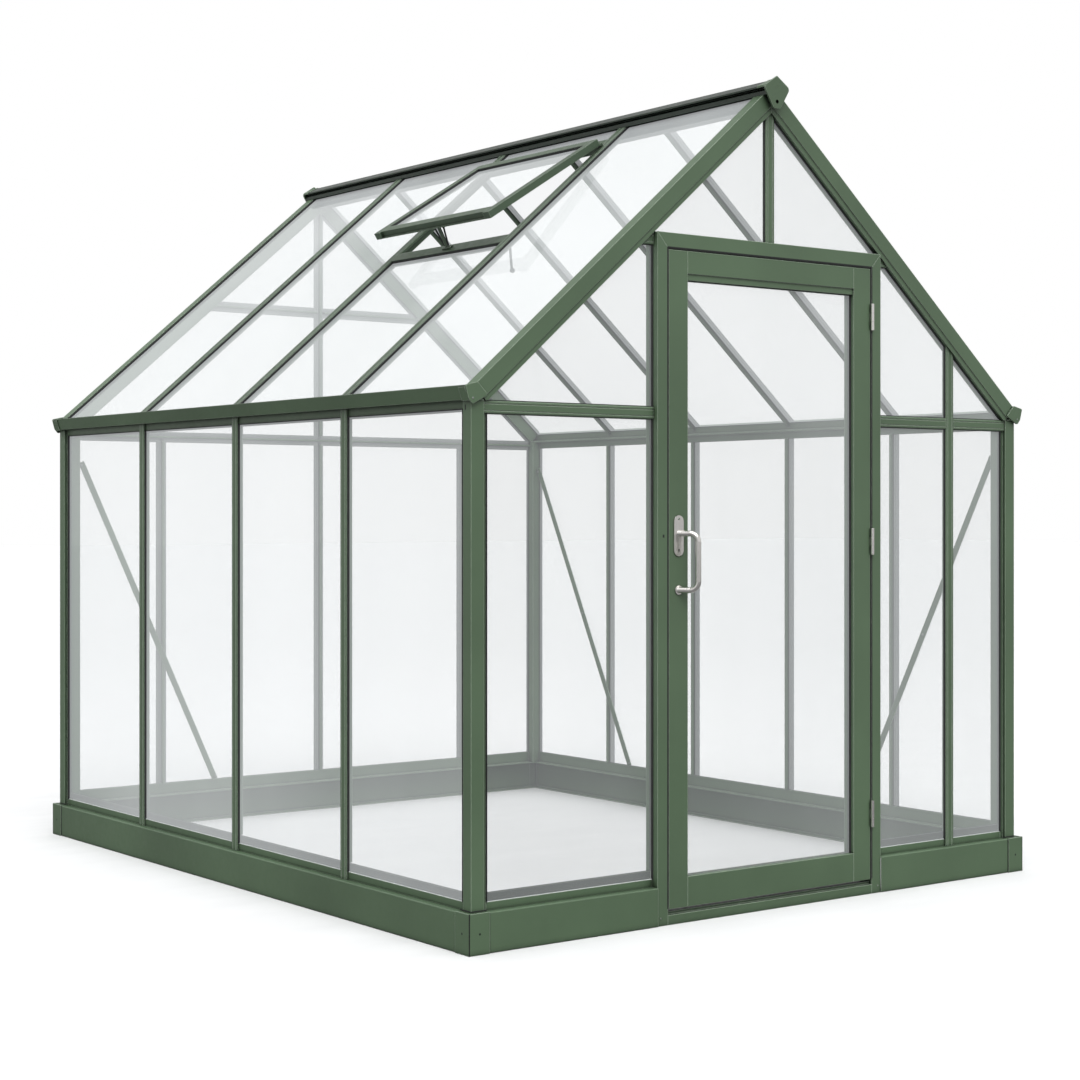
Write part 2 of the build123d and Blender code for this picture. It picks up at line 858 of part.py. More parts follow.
with BuildPart() as door_head:
    add_frame_piece(
        [
            (-frame_half, frame_top),
            (frame_half, frame_top),
            (frame_inner, frame_opening_top),
            (-frame_inner, frame_opening_top),
        ]
    )
    with Locations((0, front_face + glass_face + slot_width / 2, frame_top - glass_bite / 2)):
        Box(2 * frame_half, slot_width, glass_bite, mode=Mode.SUBTRACT)
save(door_head, "door_head")

# Wall glass
bar_clear = web_thickness / 2 + pane_gap
slot_reach = glass_bite - pane_gap
side_pane_top = wall_top - rail_base - pane_gap


def pane_edges(places, start, end):
    """Start and end of each pane between bars, its outer edges standing in the posts' slots."""
    starts = [start] + [place + bar_clear for place in places]
    ends = [place - bar_clear for place in places] + [end]
    return list(zip(starts, ends))


for side, name, places in (
    ("left", "left_wall_glass", left_bar_places),
    ("right", "right_wall_glass", right_bar_places),
):
    with BuildPart() as wall_glass:
        for start, end in pane_edges(places, side_start - slot_reach, side_end + slot_reach):
            add_pane(side, start, end, sill_glass_bottom, side_pane_top)
    save(wall_glass, name)

transom_web_foot = transom_height - web_thickness / 2
transom_web_head = transom_height + web_thickness / 2
low_pane_top = transom_web_foot - pane_gap
pane_slope_depth = rake_depth - slot_reach


def under_rake(x):
    """Height that a pane may reach in the slot of a rafter."""
    return slope_height(x, pane_slope_depth)


def rake_reach(z):
    """Distance from the centre line at which a pane of this height meets its rafter."""
    return (ridge_line - pane_slope_depth / cos(pitch) - z) / tan(pitch)


collar_web_foot = collar_height - web_thickness / 2 - pane_gap
collar_web_head = collar_height + web_thickness / 2

with BuildPart() as back_glass:
    edge = end_reach + slot_reach
    for start, end in pane_edges(back_bar_places, -edge, edge):
        add_pane("back", start, end, sill_glass_bottom, low_pane_top)
    for hand in (-1, 1):
        low_outline = [
            (bar_clear, transom_web_head),
            (end_reach - pane_gap, transom_web_head),
            (end_reach - pane_gap, under_rake(end_reach - pane_gap)),
            (rake_reach(collar_web_foot), collar_web_foot),
            (bar_clear, collar_web_foot),
        ]
        high_outline = [
            (bar_clear, collar_web_head),
            (rake_reach(collar_web_head), collar_web_head),
            (bar_clear, under_rake(bar_clear)),
        ]
        for outline in (low_outline, high_outline):
            add_gable_pane("back", [(hand * x, z) for x, z in outline])
save(back_glass, "back_glass")

jamb_edge = frame_half - slot_reach
stub_web_foot = stub_height - web_thickness / 2 - pane_gap

with BuildPart() as front_glass:
    add_pane("front", -end_reach - slot_reach, -jamb_edge, sill_glass_bottom, low_pane_top)
    bar_left = front_bar_offset - bar_clear
    bar_right = front_bar_offset + bar_clear
    add_pane("front", jamb_edge, bar_left, sill_glass_bottom, low_pane_top)
    add_pane("front", bar_right, end_reach + slot_reach, sill_glass_bottom, low_pane_top)
    outer = end_reach - pane_gap
    stub_corner = (rake_reach(stub_web_foot), stub_web_foot)
    left_outline = [
        (-jamb_edge, transom_web_head),
        (-outer, transom_web_head),
        (-outer, under_rake(outer)),
        (-stub_corner[0], stub_corner[1]),
        (-jamb_edge, stub_web_foot),
    ]
    middle_outline = [
        (jamb_edge, transom_web_head),
        (bar_left, transom_web_head),
        (bar_left, under_rake(bar_left)),
        stub_corner,
        (jamb_edge, stub_web_foot),
    ]
    right_outline = [
        (bar_right, transom_web_head),
        (outer, transom_web_head),
        (outer, under_rake(outer)),
        (bar_right, under_rake(bar_right)),
    ]
    for outline in (left_outline, middle_outline, right_outline):
        add_gable_pane("front", outline)
    for hand in (-1, 1):
        top_outline = [
            (bar_clear, frame_top + pane_gap),
            (rake_reach(frame_top + pane_gap), frame_top + pane_gap),
            (bar_clear, under_rake(bar_clear)),
        ]
        add_gable_pane("front", [(hand * x, z) for x, z in top_outline])
save(front_glass, "front_glass")

# Roof glass; the vent's bay has a short strip at the ridge and a pane below the crossbar
glass_head = (body_side + pane_gap + roof_glass_back * sin(pitch)) / cos(pitch)
roof_start = front_face + rake_inner - slot_reach
roof_end = back_face - rake_inner + slot_reach
vent_head_top = vent_hinge_distance - vent_bar_width
vent_foot_bar = vent_hinge_distance + vent_length - vent_bar_width / 2
vent_foot_end = vent_foot_bar + vent_bar_width

with BuildPart() as left_roof_glass:
    for i, (start, end) in enumerate(pane_edges(left_bar_places, roof_start, roof_end)):
        if i == vent_bay:
            add_roof_pane(-1, start, end, glass_head, vent_head_top + glass_bite)
            add_roof_pane(-1, start, end, vent_foot_end - glass_bite, glass_foot)
        else:
            add_roof_pane(-1, start, end, glass_head, glass_foot)
save(left_roof_glass, "left_roof_glass")

with BuildPart() as right_roof_glass:
    for start, end in pane_edges(right_bar_places, roof_start, roof_end):
        add_roof_pane(1, start, end, glass_head, glass_foot)
save(right_roof_glass, "right_roof_glass")

# Roof vent: head bar and crossbar between the roof bars, sash standing open on its hinge roll
vent_left_bar = left_bar_places[vent_bay - 1]
vent_right_bar = left_bar_places[vent_bay]
vent_middle = (vent_left_bar + vent_right_bar) / 2
vent_clear_width = vent_right_bar - vent_left_bar - web_thickness
vent_between_caps = vent_right_bar - vent_left_bar - cap_width


def add_vent_bar(distance, slot_side):
    """A bar across the vent's bay, slotted on one side for the edge of a pane."""
    with BuildSketch(slope_plane(-1, vent_middle, distance)) as profile:
        Rectangle(vent_between_caps, roof_glass_depth, align=(Align.CENTER, Align.MIN))
        with Locations((0, roof_glass_depth)):
            Rectangle(
                vent_clear_width,
                vent_bar_depth - roof_glass_depth,
                align=(Align.CENTER, Align.MIN),
            )
    extrude(profile.sketch, amount=vent_bar_width)
    slot_start = distance if slot_side == "top" else distance + vent_bar_width - glass_bite
    with BuildSketch(slope_plane(-1, vent_middle, slot_start)) as profile:
        with Locations((0, roof_glass_depth)):
            Rectangle(vent_clear_width, slot_width, align=(Align.CENTER, Align.MIN))
    extrude(profile.sketch, amount=glass_bite, mode=Mode.SUBTRACT)


with BuildPart() as vent_bars:
    add_vent_bar(vent_head_top, "top")
    add_vent_bar(vent_foot_bar, "bottom")
save(vent_bars, "vent_bars")

vent_tilt = radians(vent_angle)
vent_width = vent_right_bar - vent_left_bar - 2 * vent_side_gap
roll_plane = slope_plane(-1, vent_middle, vent_hinge_distance, -vent_roll_radius)


def vent_plane(distance, depth):
    """Cross plane of the open sash, at a distance from its hinge line."""
    tilted = pitch - vent_tilt
    down = Vector(-cos(tilted), 0, -sin(tilted))
    into = Vector(sin(tilted), 0, -cos(tilted))
    start = roll_plane.origin + down * distance + into * depth
    return Plane(origin=start, x_dir=(0, 1, 0), z_dir=down)


sash_start = vent_roll_radius + vent_seat_clearance


def add_sash_piece(along, width, start, length):
    with BuildSketch(vent_plane(start, -vent_thickness / 2)) as profile:
        with Locations((along, 0)):
            Rectangle(width, vent_thickness)
    extrude(profile.sketch, amount=length)


with BuildPart() as vent_roll:
    roll_start = roll_plane.origin - Vector(0, vent_width / 2, 0)
    with BuildSketch(Plane(origin=roll_start, x_dir=(1, 0, 0), z_dir=(0, 1, 0))):
        Circle(vent_roll_radius)
    extrude(amount=vent_width)
save(vent_roll, "vent_hinge_roll")

with BuildPart() as vent_stiles:
    for hand in (-1, 1):
        stile_place = hand * (vent_width - vent_stile_width) / 2
        stile_length = vent_length + vent_stile_overhang
        add_sash_piece(stile_place, vent_stile_width, sash_start, stile_length)
save(vent_stiles, "vent_stiles")

with BuildPart() as vent_rails:
    rail_length = vent_width - 2 * vent_stile_width
    for start in (sash_start, sash_start + vent_length - vent_rail_width):
        add_sash_piece(0, rail_length, start, vent_rail_width)
    drip_plane = vent_plane(sash_start + vent_length, -drip_thickness / 2)
    with BuildSketch(drip_plane):
        Rectangle(rail_length, drip_thickness)
    extrude(amount=drip_reach)
save(vent_rails, "vent_rails")

with BuildPart() as vent_glass:
    vent_pane_length = vent_length - 2 * vent_rail_width
    with BuildSketch(vent_plane(sash_start + vent_rail_width, -vent_thickness / 2)):
        Rectangle(rail_length, glass_thickness)
    extrude(amount=vent_pane_length)
save(vent_glass, "vent_glass")

stay_foot = slope_plane(-1, vent_middle, vent_foot_bar + vent_bar_width / 2, 0).origin
stay_head = vent_plane(sash_start + vent_length - vent_rail_width / 2, 0).origin
stay_run = stay_head - stay_foot

sash_under = Plane(
    origin=roll_plane.origin,
    x_dir=(0, 1, 0),
    z_dir=(-sin(pitch - vent_tilt), 0, cos(pitch - vent_tilt)),
)

with BuildPart() as vent_stay:
    stay_start = stay_foot - stay_run.normalized() * stay_width
    with BuildSketch(Plane(origin=stay_start, x_dir=(0, 1, 0), z_dir=stay_run)):
        Rectangle(stay_width, stay_thickness)
    extrude(amount=stay_run.length + 2 * stay_width)
    split(bisect_by=slope_face(-1, 0), keep=Keep.TOP)
    split(bisect_by=sash_under, keep=Keep.BOTTOM)
    foot_distance = vent_foot_bar + (vent_bar_width - stay_width) / 2
    with BuildSketch(slope_plane(-1, vent_middle, foot_distance, -stay_foot_height / 2)):
        Rectangle(stay_foot_length, stay_foot_height)
    extrude(amount=stay_width)
save(vent_stay, "vent_stay")

# Diagonal braces: flat bars on the inner edges of the webs
brace_depth = cap_back + web_depth


def add_brace(side, head_along, foot_along):
    head = wall_point(side, head_along, brace_depth, brace_head_height)
    foot = wall_point(side, foot_along, brace_depth, brace_foot_height)
    run = foot - head
    with BuildSketch(Plane(origin=head, x_dir=inward[side], z_dir=run)) as profile:
        Rectangle(brace_thickness, brace_width, align=(Align.MIN, Align.CENTER))
    extrude(profile.sketch, amount=run.length)


post_clear = post_depth + brace_width / 2

with BuildPart() as wall_braces:
    add_brace("right", front_face + post_clear, front_face + brace_run)
    add_brace("right", back_face - post_clear, back_face - brace_run)
    back_brace_start = -half_wall + post_width + brace_width / 2
    add_brace("back", back_brace_start, -half_wall + brace_run - post_width)
save(wall_braces, "wall_braces")

# Door leaf
leaf_front = frame_face + leaf_setback
leaf_back = leaf_front + leaf_depth

with BuildPart() as door_stiles:
    for hand in (-1, 1):
        low_x, high_x = sorted((hand * leaf_half, hand * (leaf_half - stile_width)))
        add_block((low_x, leaf_front, leaf_bottom), (high_x, leaf_back, leaf_top))
        slot_centre = hand * (leaf_half - stile_width + door_glass_bite / 2)
        with Locations((slot_centre, (leaf_front + leaf_back) / 2, (leaf_bottom + leaf_top) / 2)):
            Box(
                door_glass_bite,
                slot_width,
                leaf_top - leaf_bottom - 2 * member_wall,
                mode=Mode.SUBTRACT,
            )
save(door_stiles, "door_stiles")

rail_half = leaf_half - stile_width
glass_low = leaf_bottom + bottom_rail_height
glass_high = leaf_top - top_rail_height

with BuildPart() as door_rails:
    add_block((-rail_half, leaf_front, leaf_bottom), (rail_half, leaf_back, glass_low))
    add_block((-rail_half, leaf_front, glass_high), (rail_half, leaf_back, leaf_top))
    slot_y = (leaf_front + leaf_back) / 2
    bead_place = (0, leaf_front + door_bead_setback / 2, glass_high + door_bead_height / 2)
    with Locations(bead_place):
        Box(2 * rail_half, door_bead_setback, door_bead_height, mode=Mode.SUBTRACT)
    for slot_z in (glass_low - door_glass_bite / 2, glass_high + door_glass_bite / 2):
        with Locations((0, slot_y, slot_z)):
            Box(2 * rail_half, slot_width, door_glass_bite, mode=Mode.SUBTRACT)
save(door_rails, "door_rails")

with BuildPart() as door_glass:
    pane_half = rail_half + door_glass_bite - pane_gap
    pane_y = (leaf_front + leaf_back - glass_thickness) / 2
    add_block(
        (-pane_half, pane_y, glass_low - door_glass_bite),
        (pane_half, pane_y + glass_thickness, glass_high + door_glass_bite - pane_gap),
    )
save(door_glass, "door_glass")

# Hinges: two frame knuckles with the pin, and the door's knuckle between them
knuckle_length = hinge_length / 3


def add_knuckle(height, length):
    with Locations((hinge_x, hinge_y, height + length / 2)):
        Cylinder(knuckle_radius, length)


with BuildPart() as frame_hinges:
    for middle_height in hinge_heights:
        foot = middle_height - hinge_length / 2
        add_knuckle(foot, knuckle_length)
        add_knuckle(foot + 2 * knuckle_length, knuckle_length)
        with Locations((hinge_x, hinge_y, middle_height)):
            Cylinder(hinge_pin_radius, hinge_length - knuckle_length)
        for start in (foot, foot + 2 * knuckle_length):
            add_block(
                (frame_inner - hinge_leaf, hinge_y, start),
                (frame_inner, frame_face + hinge_leaf_depth, start + knuckle_length),
            )
save(frame_hinges, "frame_hinges")

with BuildPart() as door_hinges:
    for middle_height in hinge_heights:
        foot = middle_height - knuckle_length / 2 + knuckle_gap
        length = knuckle_length - 2 * knuckle_gap
        add_knuckle(foot, length)
        add_block(
            (leaf_half, hinge_y, foot),
            (leaf_half + hinge_leaf, frame_face + hinge_leaf_depth, foot + length),
        )
        with Locations((hinge_x, hinge_y, middle_height)):
            Cylinder(hinge_pin_radius + hinge_pin_clearance, knuckle_length, mode=Mode.SUBTRACT)
save(door_hinges, "door_hinges")

# Pull handle: plate with rounded ends, a bar cranked towards the glass and a rosette at its lower leg
handle_x = -leaf_half + handle_offset
grip_x = handle_x + handle_reach
bar_y = leaf_front - handle_stand_off
root_x = handle_x - handle_root * handle_reach / handle_stand_off
root_y = leaf_front + handle_root
plate_middle = handle_plate_bottom + handle_plate_height / 2

with BuildPart() as pull_handle:
    plate_plane = Plane(origin=(handle_x, leaf_front, plate_middle), x_dir=(1, 0, 0), z_dir=(0, -1, 0))
    with BuildSketch(plate_plane):
        SlotOverall(handle_plate_height, handle_plate_width, rotation=90)
    extrude(amount=handle_plate_thickness)
    with BuildSketch(Plane(origin=(handle_x, leaf_front, handle_bottom), z_dir=(0, -1, 0))):
        Circle(rosette_radius)
    extrude(amount=handle_plate_thickness)
    with BuildLine() as handle_path:
        FilletPolyline(
            (root_x, root_y, handle_top),
            (grip_x, bar_y, handle_top),
            (grip_x, bar_y, handle_bottom),
            (root_x, root_y, handle_bottom),
            radius=handle_bend,
        )
    leg_way = (handle_reach, -handle_stand_off, 0)
    with BuildSketch(Plane(origin=(root_x, root_y, handle_top), z_dir=leg_way)):
        Circle(handle_radius)
    sweep(path=handle_path.wire())
    split(bisect_by=Plane(origin=(handle_x, leaf_front, handle_top), z_dir=(0, -1, 0)), keep=Keep.TOP)
save(pull_handle, "pull_handle")
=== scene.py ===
# %% [markdown]
# # Aluminium greenhouse: finishes, small fittings and studio
# The solids of the house come packed as a frame of aluminium profiles, panes and hardware.
# This lesson dresses them in Blender: powder coat, clear glass, brushed steel, and the fittings
# that are too fine for the solids, such as screws and black seals. The studio comes last.

# %% Load the frame
import bpy
import bmesh
from math import cos, pi, radians, sin
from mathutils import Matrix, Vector
from mathutils.bvhtree import BVHTree


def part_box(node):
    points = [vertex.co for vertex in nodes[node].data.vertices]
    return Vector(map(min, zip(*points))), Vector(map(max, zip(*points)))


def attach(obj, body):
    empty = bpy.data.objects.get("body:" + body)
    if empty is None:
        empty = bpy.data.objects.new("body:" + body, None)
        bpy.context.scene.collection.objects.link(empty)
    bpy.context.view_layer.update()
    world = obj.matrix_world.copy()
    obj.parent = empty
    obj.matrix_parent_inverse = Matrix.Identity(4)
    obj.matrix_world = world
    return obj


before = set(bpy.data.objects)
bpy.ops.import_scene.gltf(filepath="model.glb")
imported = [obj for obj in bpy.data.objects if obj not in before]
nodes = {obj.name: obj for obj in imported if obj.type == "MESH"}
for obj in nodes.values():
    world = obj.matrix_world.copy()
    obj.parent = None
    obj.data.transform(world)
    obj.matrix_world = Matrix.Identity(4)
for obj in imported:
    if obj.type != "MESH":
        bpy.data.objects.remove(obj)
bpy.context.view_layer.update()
scene = bpy.context.scene

# %% [markdown]
# ## Places taken from the frame
# A fitting sits on a real face of the house. Its place could be typed in, but then it would stay
# behind when a size of the house changes. So the walls, the eaves and the plinth's top are read
# from the boxes of the solids, and later cells work from them.

# %% Places
posts_low, posts_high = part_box("front_posts")
FRONT = posts_low.y
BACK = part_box("back_posts")[1].y
HALF = posts_high.x
EAVES = posts_high.z
PLINTH = posts_low.z
print("walls", FRONT, BACK, HALF, "eaves", EAVES, "plinth", PLINTH)

# %% [markdown]
# ## First shader helpers
# Every finish is a small tree of nodes. A painted texture would need a flat map of each piece.
# Noise in object space needs none, and its grain has one scale on all the pieces. Four helpers
# keep the trees readable: a new material, a noise, a change of range and a ramp of colours.

# %% Material, noise, range and ramp
def new_material(name):
    material = bpy.data.materials.new(name)
    material.use_nodes = True
    tree = material.node_tree
    return material, tree, tree.nodes["Principled BSDF"]


def noise(tree, scale, detail=3.0, stretch=(1.0, 1.0, 1.0)):
    """Noise in object space; stretch scales the axes, for a grain that runs one way."""
    place = tree.nodes.new("ShaderNodeTexCoord")
    mapping = tree.nodes.new("ShaderNodeMapping")
    mapping.inputs["Scale"].default_value = stretch
    texture = tree.nodes.new("ShaderNodeTexNoise")
    texture.inputs["Scale"].default_value = scale
    texture.inputs["Detail"].default_value = detail
    tree.links.new(place.outputs["Object"], mapping.inputs["Vector"])
    tree.links.new(mapping.outputs["Vector"], texture.inputs["Vector"])
    return texture.outputs["Fac"]


def remap(tree, source, low, high, from_low=0.3, from_high=0.7):
    """Runs from low to high while the source runs through its own range, and stops at both."""
    node = tree.nodes.new("ShaderNodeMapRange")
    node.inputs["From Min"].default_value = from_low
    node.inputs["From Max"].default_value = from_high
    node.inputs["To Min"].default_value = low
    node.inputs["To Max"].default_value = high
    tree.links.new(source, node.inputs["Value"])
    return node.outputs["Result"]


def ramp(tree, source, stops):
    """Colours along a value: stops are (place, colour) pairs."""
    node = tree.nodes.new("ShaderNodeValToRGB")
    elements = node.color_ramp.elements
    while len(elements) < len(stops):
        elements.new(0.5)
    for element, (place, colour) in zip(elements, stops):
        element.position = place
        element.color = (*colour, 1)
    tree.links.new(source, node.inputs["Fac"])
    return node.outputs["Color"]


print("helpers made: material, noise, range, ramp")

# %% [markdown]
# ## Mixing and calculating in a tree
# A finish is laid up in coats, each through a mask, and a mask is a sum or product of others.
# Blender has a node for each of these steps. A socket takes a link or a plain value, so one
# helper feeds both, and each step stays one line where it is used.

# %% Mixing and calculating
MIX_FACTOR, MIX_FIRST, MIX_SECOND, MIX_RESULT = 0, 6, 7, 2  # sockets of the colours in a Mix node


def feed(tree, socket, value):
    """Links a socket to another one, or sets a plain number, place or colour on it."""
    if isinstance(value, bpy.types.NodeSocket):
        tree.links.new(value, socket)
    elif socket.type == "RGBA":
        socket.default_value = (*value, 1)
    else:
        socket.default_value = value


def mix_colour(tree, factor, first, second):
    node = tree.nodes.new("ShaderNodeMix")
    node.data_type = "RGBA"
    feed(tree, node.inputs[MIX_FACTOR], factor)
    feed(tree, node.inputs[MIX_FIRST], first)
    feed(tree, node.inputs[MIX_SECOND], second)
    return node.outputs[MIX_RESULT]


def calculate(tree, operation, first, second):
    """One step of arithmetic, kept between 0 and 1 because every result is a mask."""
    node = tree.nodes.new("ShaderNodeMath")
    node.operation = operation
    node.use_clamp = True
    feed(tree, node.inputs[0], first)
    feed(tree, node.inputs[1], second)
    return node.outputs["Value"]


def compute(tree, operation, first, second=None, result="Value"):
    """One step with directions or places; result names the socket that is wanted."""
    node = tree.nodes.new("ShaderNodeVectorMath")
    node.operation = operation
    feed(tree, node.inputs[0], first)
    if second is not None:
        feed(tree, node.inputs[1], second)
    return node.outputs[result]


def scaled(colour, share):
    return tuple(min(1.0, channel * share) for channel in colour)


print("helpers made: mixing, numbers, places")

# %% [markdown]
# ## Edges and fine relief
# An edge always catches some light, so every edge of the coat gets a painted highlight: a lighter
# colour mixed in along it. Real bevels would change the solids, which stay as they are. The Bevel
# node rounds only the direction of the surface for the light. Where that direction leaves the
# true one there is an edge, and this makes the mask.

# %% Edges and relief
def rounded_normal(tree, radius):
    bevel = tree.nodes.new("ShaderNodeBevel")
    bevel.samples = 4
    bevel.inputs["Radius"].default_value = radius
    return bevel.outputs["Normal"]


def edge_mask(tree, rounded):
    """1 on the edges of a solid and 0 on its faces."""
    geometry = tree.nodes.new("ShaderNodeNewGeometry")
    agreement = compute(tree, "DOT_PRODUCT", rounded, geometry.outputs["Normal"])
    return remap(tree, agreement, 1.0, 0.0, 0.80, 0.99)


def add_bump(tree, shader, height, strength, distance, rounded=None):
    bump = tree.nodes.new("ShaderNodeBump")
    bump.inputs["Strength"].default_value = strength
    bump.inputs["Distance"].default_value = distance
    tree.links.new(height, bump.inputs["Height"])
    if rounded is not None:
        tree.links.new(rounded, bump.inputs["Normal"])
    tree.links.new(bump.outputs["Normal"], shader.inputs["Normal"])


def openness(tree, reach):
    """1 on an open face, falling towards 0 in a corner or gap within reach, where shade is
    painted.
    """
    occlusion = tree.nodes.new("ShaderNodeAmbientOcclusion")
    occlusion.samples = 4
    occlusion.inputs["Distance"].default_value = reach
    return occlusion.outputs["AO"]


print("helpers made: rounding, edge mask, bump, openness")

# %% [markdown]
# ## Powder coat
# The aluminium is dusted with polyester powder and baked. That leaves a satin skin with a faint
# orange peel and a little variation from one length to the next. On top of it the edges get a
# painted highlight, and the corners and tight seams a painted shade. One plain colour would look
# like plastic, so three noises at real sizes make the variation, the specks and the peel, and
# openness finds the corners and the tight seams where the shade is painted.

# %% Powder coat
CLOUD_SCALE, SPECK_SCALE, PEEL_SCALE = 2.2, 55.0, 420.0
CORNER_SHADE_REACH = 0.035
SEAM_SHADE_REACH = 0.007
COAT_EDGE = 0.0034
EDGE_HIGHLIGHT_STRENGTH = 0.80
COAT_ROUGHNESS = 0.42
MARK_COLOUR = (0.010, 0.014, 0.011)


def powder_coat(name, colour, highlight, marks=None):
    """Colour of the faces, painted highlight colour of the edges, and a function for dark marks.
    """
    material, tree, shader = new_material(name)
    cloud = noise(tree, CLOUD_SCALE, 4.0)
    fine = noise(tree, SPECK_SCALE, 4.0)
    peel = noise(tree, PEEL_SCALE, 2.0)
    light = scaled(colour, 1.10)
    coat = ramp(tree, cloud, [(0.32, scaled(colour, 0.86)), (0.68, light)])
    coat = mix_colour(tree, remap(tree, fine, 0.0, 0.16, 0.45, 0.75), coat, light)
    # Painted shade: where openness falls, in corners and tight seams, the coat turns towards a
    # near-black copy of its colour.
    corners = remap(tree, openness(tree, CORNER_SHADE_REACH), 0.0, 1.0, 0.22, 0.72)
    seam_shade = remap(tree, openness(tree, SEAM_SHADE_REACH), 0.25, 1.0, 0.45, 0.85)
    unshaded_share = calculate(tree, "MULTIPLY", corners, seam_shade)
    coat = mix_colour(tree, unshaded_share, scaled(colour, 0.14), coat)
    # Painted highlight: a lighter colour is mixed in along every edge, where a rounded edge
    # catches light.
    rounded = rounded_normal(tree, COAT_EDGE)
    edges = calculate(tree, "MULTIPLY", edge_mask(tree, rounded), EDGE_HIGHLIGHT_STRENGTH)
    coat = mix_colour(tree, edges, coat, highlight)
    if marks is not None:
        coat = mix_colour(tree, marks(tree), coat, MARK_COLOUR)
    tree.links.new(coat, shader.inputs["Base Color"])
    rough = remap(tree, fine, COAT_ROUGHNESS - 0.05, COAT_ROUGHNESS + 0.07)
    tree.links.new(rough, shader.inputs["Roughness"])
    add_bump(tree, shader, peel, 0.10, 0.0004, rounded)
    return material


# The second colour of each coat is the painted highlight of its edges.
SAGE, SAGE_HIGHLIGHT = (0.094, 0.152, 0.086), (0.52, 0.62, 0.50)
GREEN = powder_coat("sage_powder_coat", SAGE, SAGE_HIGHLIGHT)
# Darker copies of the sage coat: painted shade on the roof bars, the vent and the ridge.
ROOF_SHADED_GREEN = powder_coat("roof_bar_shaded_coat", (0.060, 0.098, 0.056), (0.34, 0.42, 0.33))
RIDGE_SHADED_GREEN = powder_coat("ridge_shaded_coat", (0.017, 0.030, 0.019), (0.15, 0.21, 0.16))
print("coats", GREEN.name, ROOF_SHADED_GREEN.name, RIDGE_SHADED_GREEN.name)

# %% [markdown]
# ## Marks of the corner covers
# A cover is folded sheet with a welded seam on its corner edge, and a countersunk screw holds
# each leg. As meshes, flush marks would flicker in the face or stand past it, so they are drawn
# in the coat. The place is mirrored into one quarter of the plan, which makes one thin line and
# two small discs serve all four corners.

# %% Coat of the corner covers
cover_low, cover_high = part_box("plinth_corners")
COVER_SCREW_INSET = 0.034
COVER_SCREW_RADIUS = 0.0032
COVER_SEAM = 0.0024


def cover_marks(tree):
    """1 on the seam of the corner edge and on the screws, whose dark discs are painted shade, 0
    elsewhere.
    """
    middle = (cover_low + cover_high) / 2
    half = (cover_high - cover_low) / 2
    place = tree.nodes.new("ShaderNodeTexCoord")
    moved = compute(tree, "SUBTRACT", place.outputs["Object"], tuple(middle), "Vector")
    quarter = compute(tree, "ABSOLUTE", moved, result="Vector")
    split = tree.nodes.new("ShaderNodeSeparateXYZ")
    tree.links.new(quarter, split.inputs["Vector"])
    near_x = calculate(tree, "GREATER_THAN", split.outputs["X"], half.x - COVER_SEAM)
    near_y = calculate(tree, "GREATER_THAN", split.outputs["Y"], half.y - COVER_SEAM)
    marks = calculate(tree, "MULTIPLY", near_x, near_y)
    # The screws are dark discs: painted shade of their countersunk recesses.
    for screw in (
        (half.x, half.y - COVER_SCREW_INSET, 0.0),
        (half.x - COVER_SCREW_INSET, half.y, 0.0),
    ):
        away = compute(tree, "DISTANCE", quarter, screw)
        disc = calculate(tree, "LESS_THAN", away, COVER_SCREW_RADIUS)
        marks = calculate(tree, "MAXIMUM", marks, disc)
    return marks


COVER_GREEN = powder_coat("corner_cover_coat", SAGE, SAGE_HIGHLIGHT, marks=cover_marks)
print("coat", COVER_GREEN.name, "nodes", len(COVER_GREEN.node_tree.nodes))

# %% [markdown]
# ## Clear glass
# Horticultural glass is a thin flat sheet. It hardly bends what is behind it, but it carries a
# pale veil of sky and studio, stronger at a grazing angle, and a faint cloud of dust. Real
# refraction would be slow and would keep the sun off the ground. A see-through share that falls
# with the angle gives the veil and lets the light through, and the veil's brightness is painted
# reflection: a pale glow of emission that follows the angle. A pane has two faces, and the veil
# of both is laid on the one that a ray enters, which halves the work.

# %% Glass
def clear_glass(name, veils, reflection_glows):
    """Pairs of (facing, value): the share that one face hides, and how bright the painted
    reflection glows.
    """
    material, tree, shader = new_material(name)
    weight = tree.nodes.new("ShaderNodeLayerWeight")
    weight.inputs["Blend"].default_value = 0.5
    facing = weight.outputs["Facing"]
    haze = noise(tree, 0.9, 3.0, (1.2, 1.2, 0.25))
    dust = ramp(tree, haze, [(0.35, (0.29, 0.32, 0.32)), (0.7, (0.34, 0.36, 0.36))])
    tree.links.new(dust, shader.inputs["Base Color"])
    shader.inputs["Roughness"].default_value = 0.03
    shader.inputs["IOR"].default_value = 1.5
    both_faces = [(at, (veil * (2 - veil),) * 3) for at, veil in veils]
    hidden = ramp(tree, facing, both_faces)
    hidden = calculate(tree, "ADD", hidden, remap(tree, haze, -0.065, 0.08))
    geometry = tree.nodes.new("ShaderNodeNewGeometry")
    entered = calculate(tree, "SUBTRACT", hidden, geometry.outputs["Backfacing"])
    tree.links.new(entered, shader.inputs["Alpha"])
    # Painted reflection: the glass glows with a pale emission that stands for the sky and studio
    # mirrored in it.
    reflection_glow = [(at, (0.955 * glow, 0.98 * glow, glow)) for at, glow in reflection_glows]
    tree.links.new(ramp(tree, facing, reflection_glow), shader.inputs["Emission Color"])
    shader.inputs["Emission Strength"].default_value = 1.0
    return material


GLASS = clear_glass(
    "clear_glass",
    [(0.20, 0.13), (0.50, 0.20), (0.80, 0.34), (1.0, 0.60)],
    [(0.22, 0.37), (0.50, 0.70), (0.80, 0.47), (1.0, 0.32)],
)
print("glass", GLASS.name)

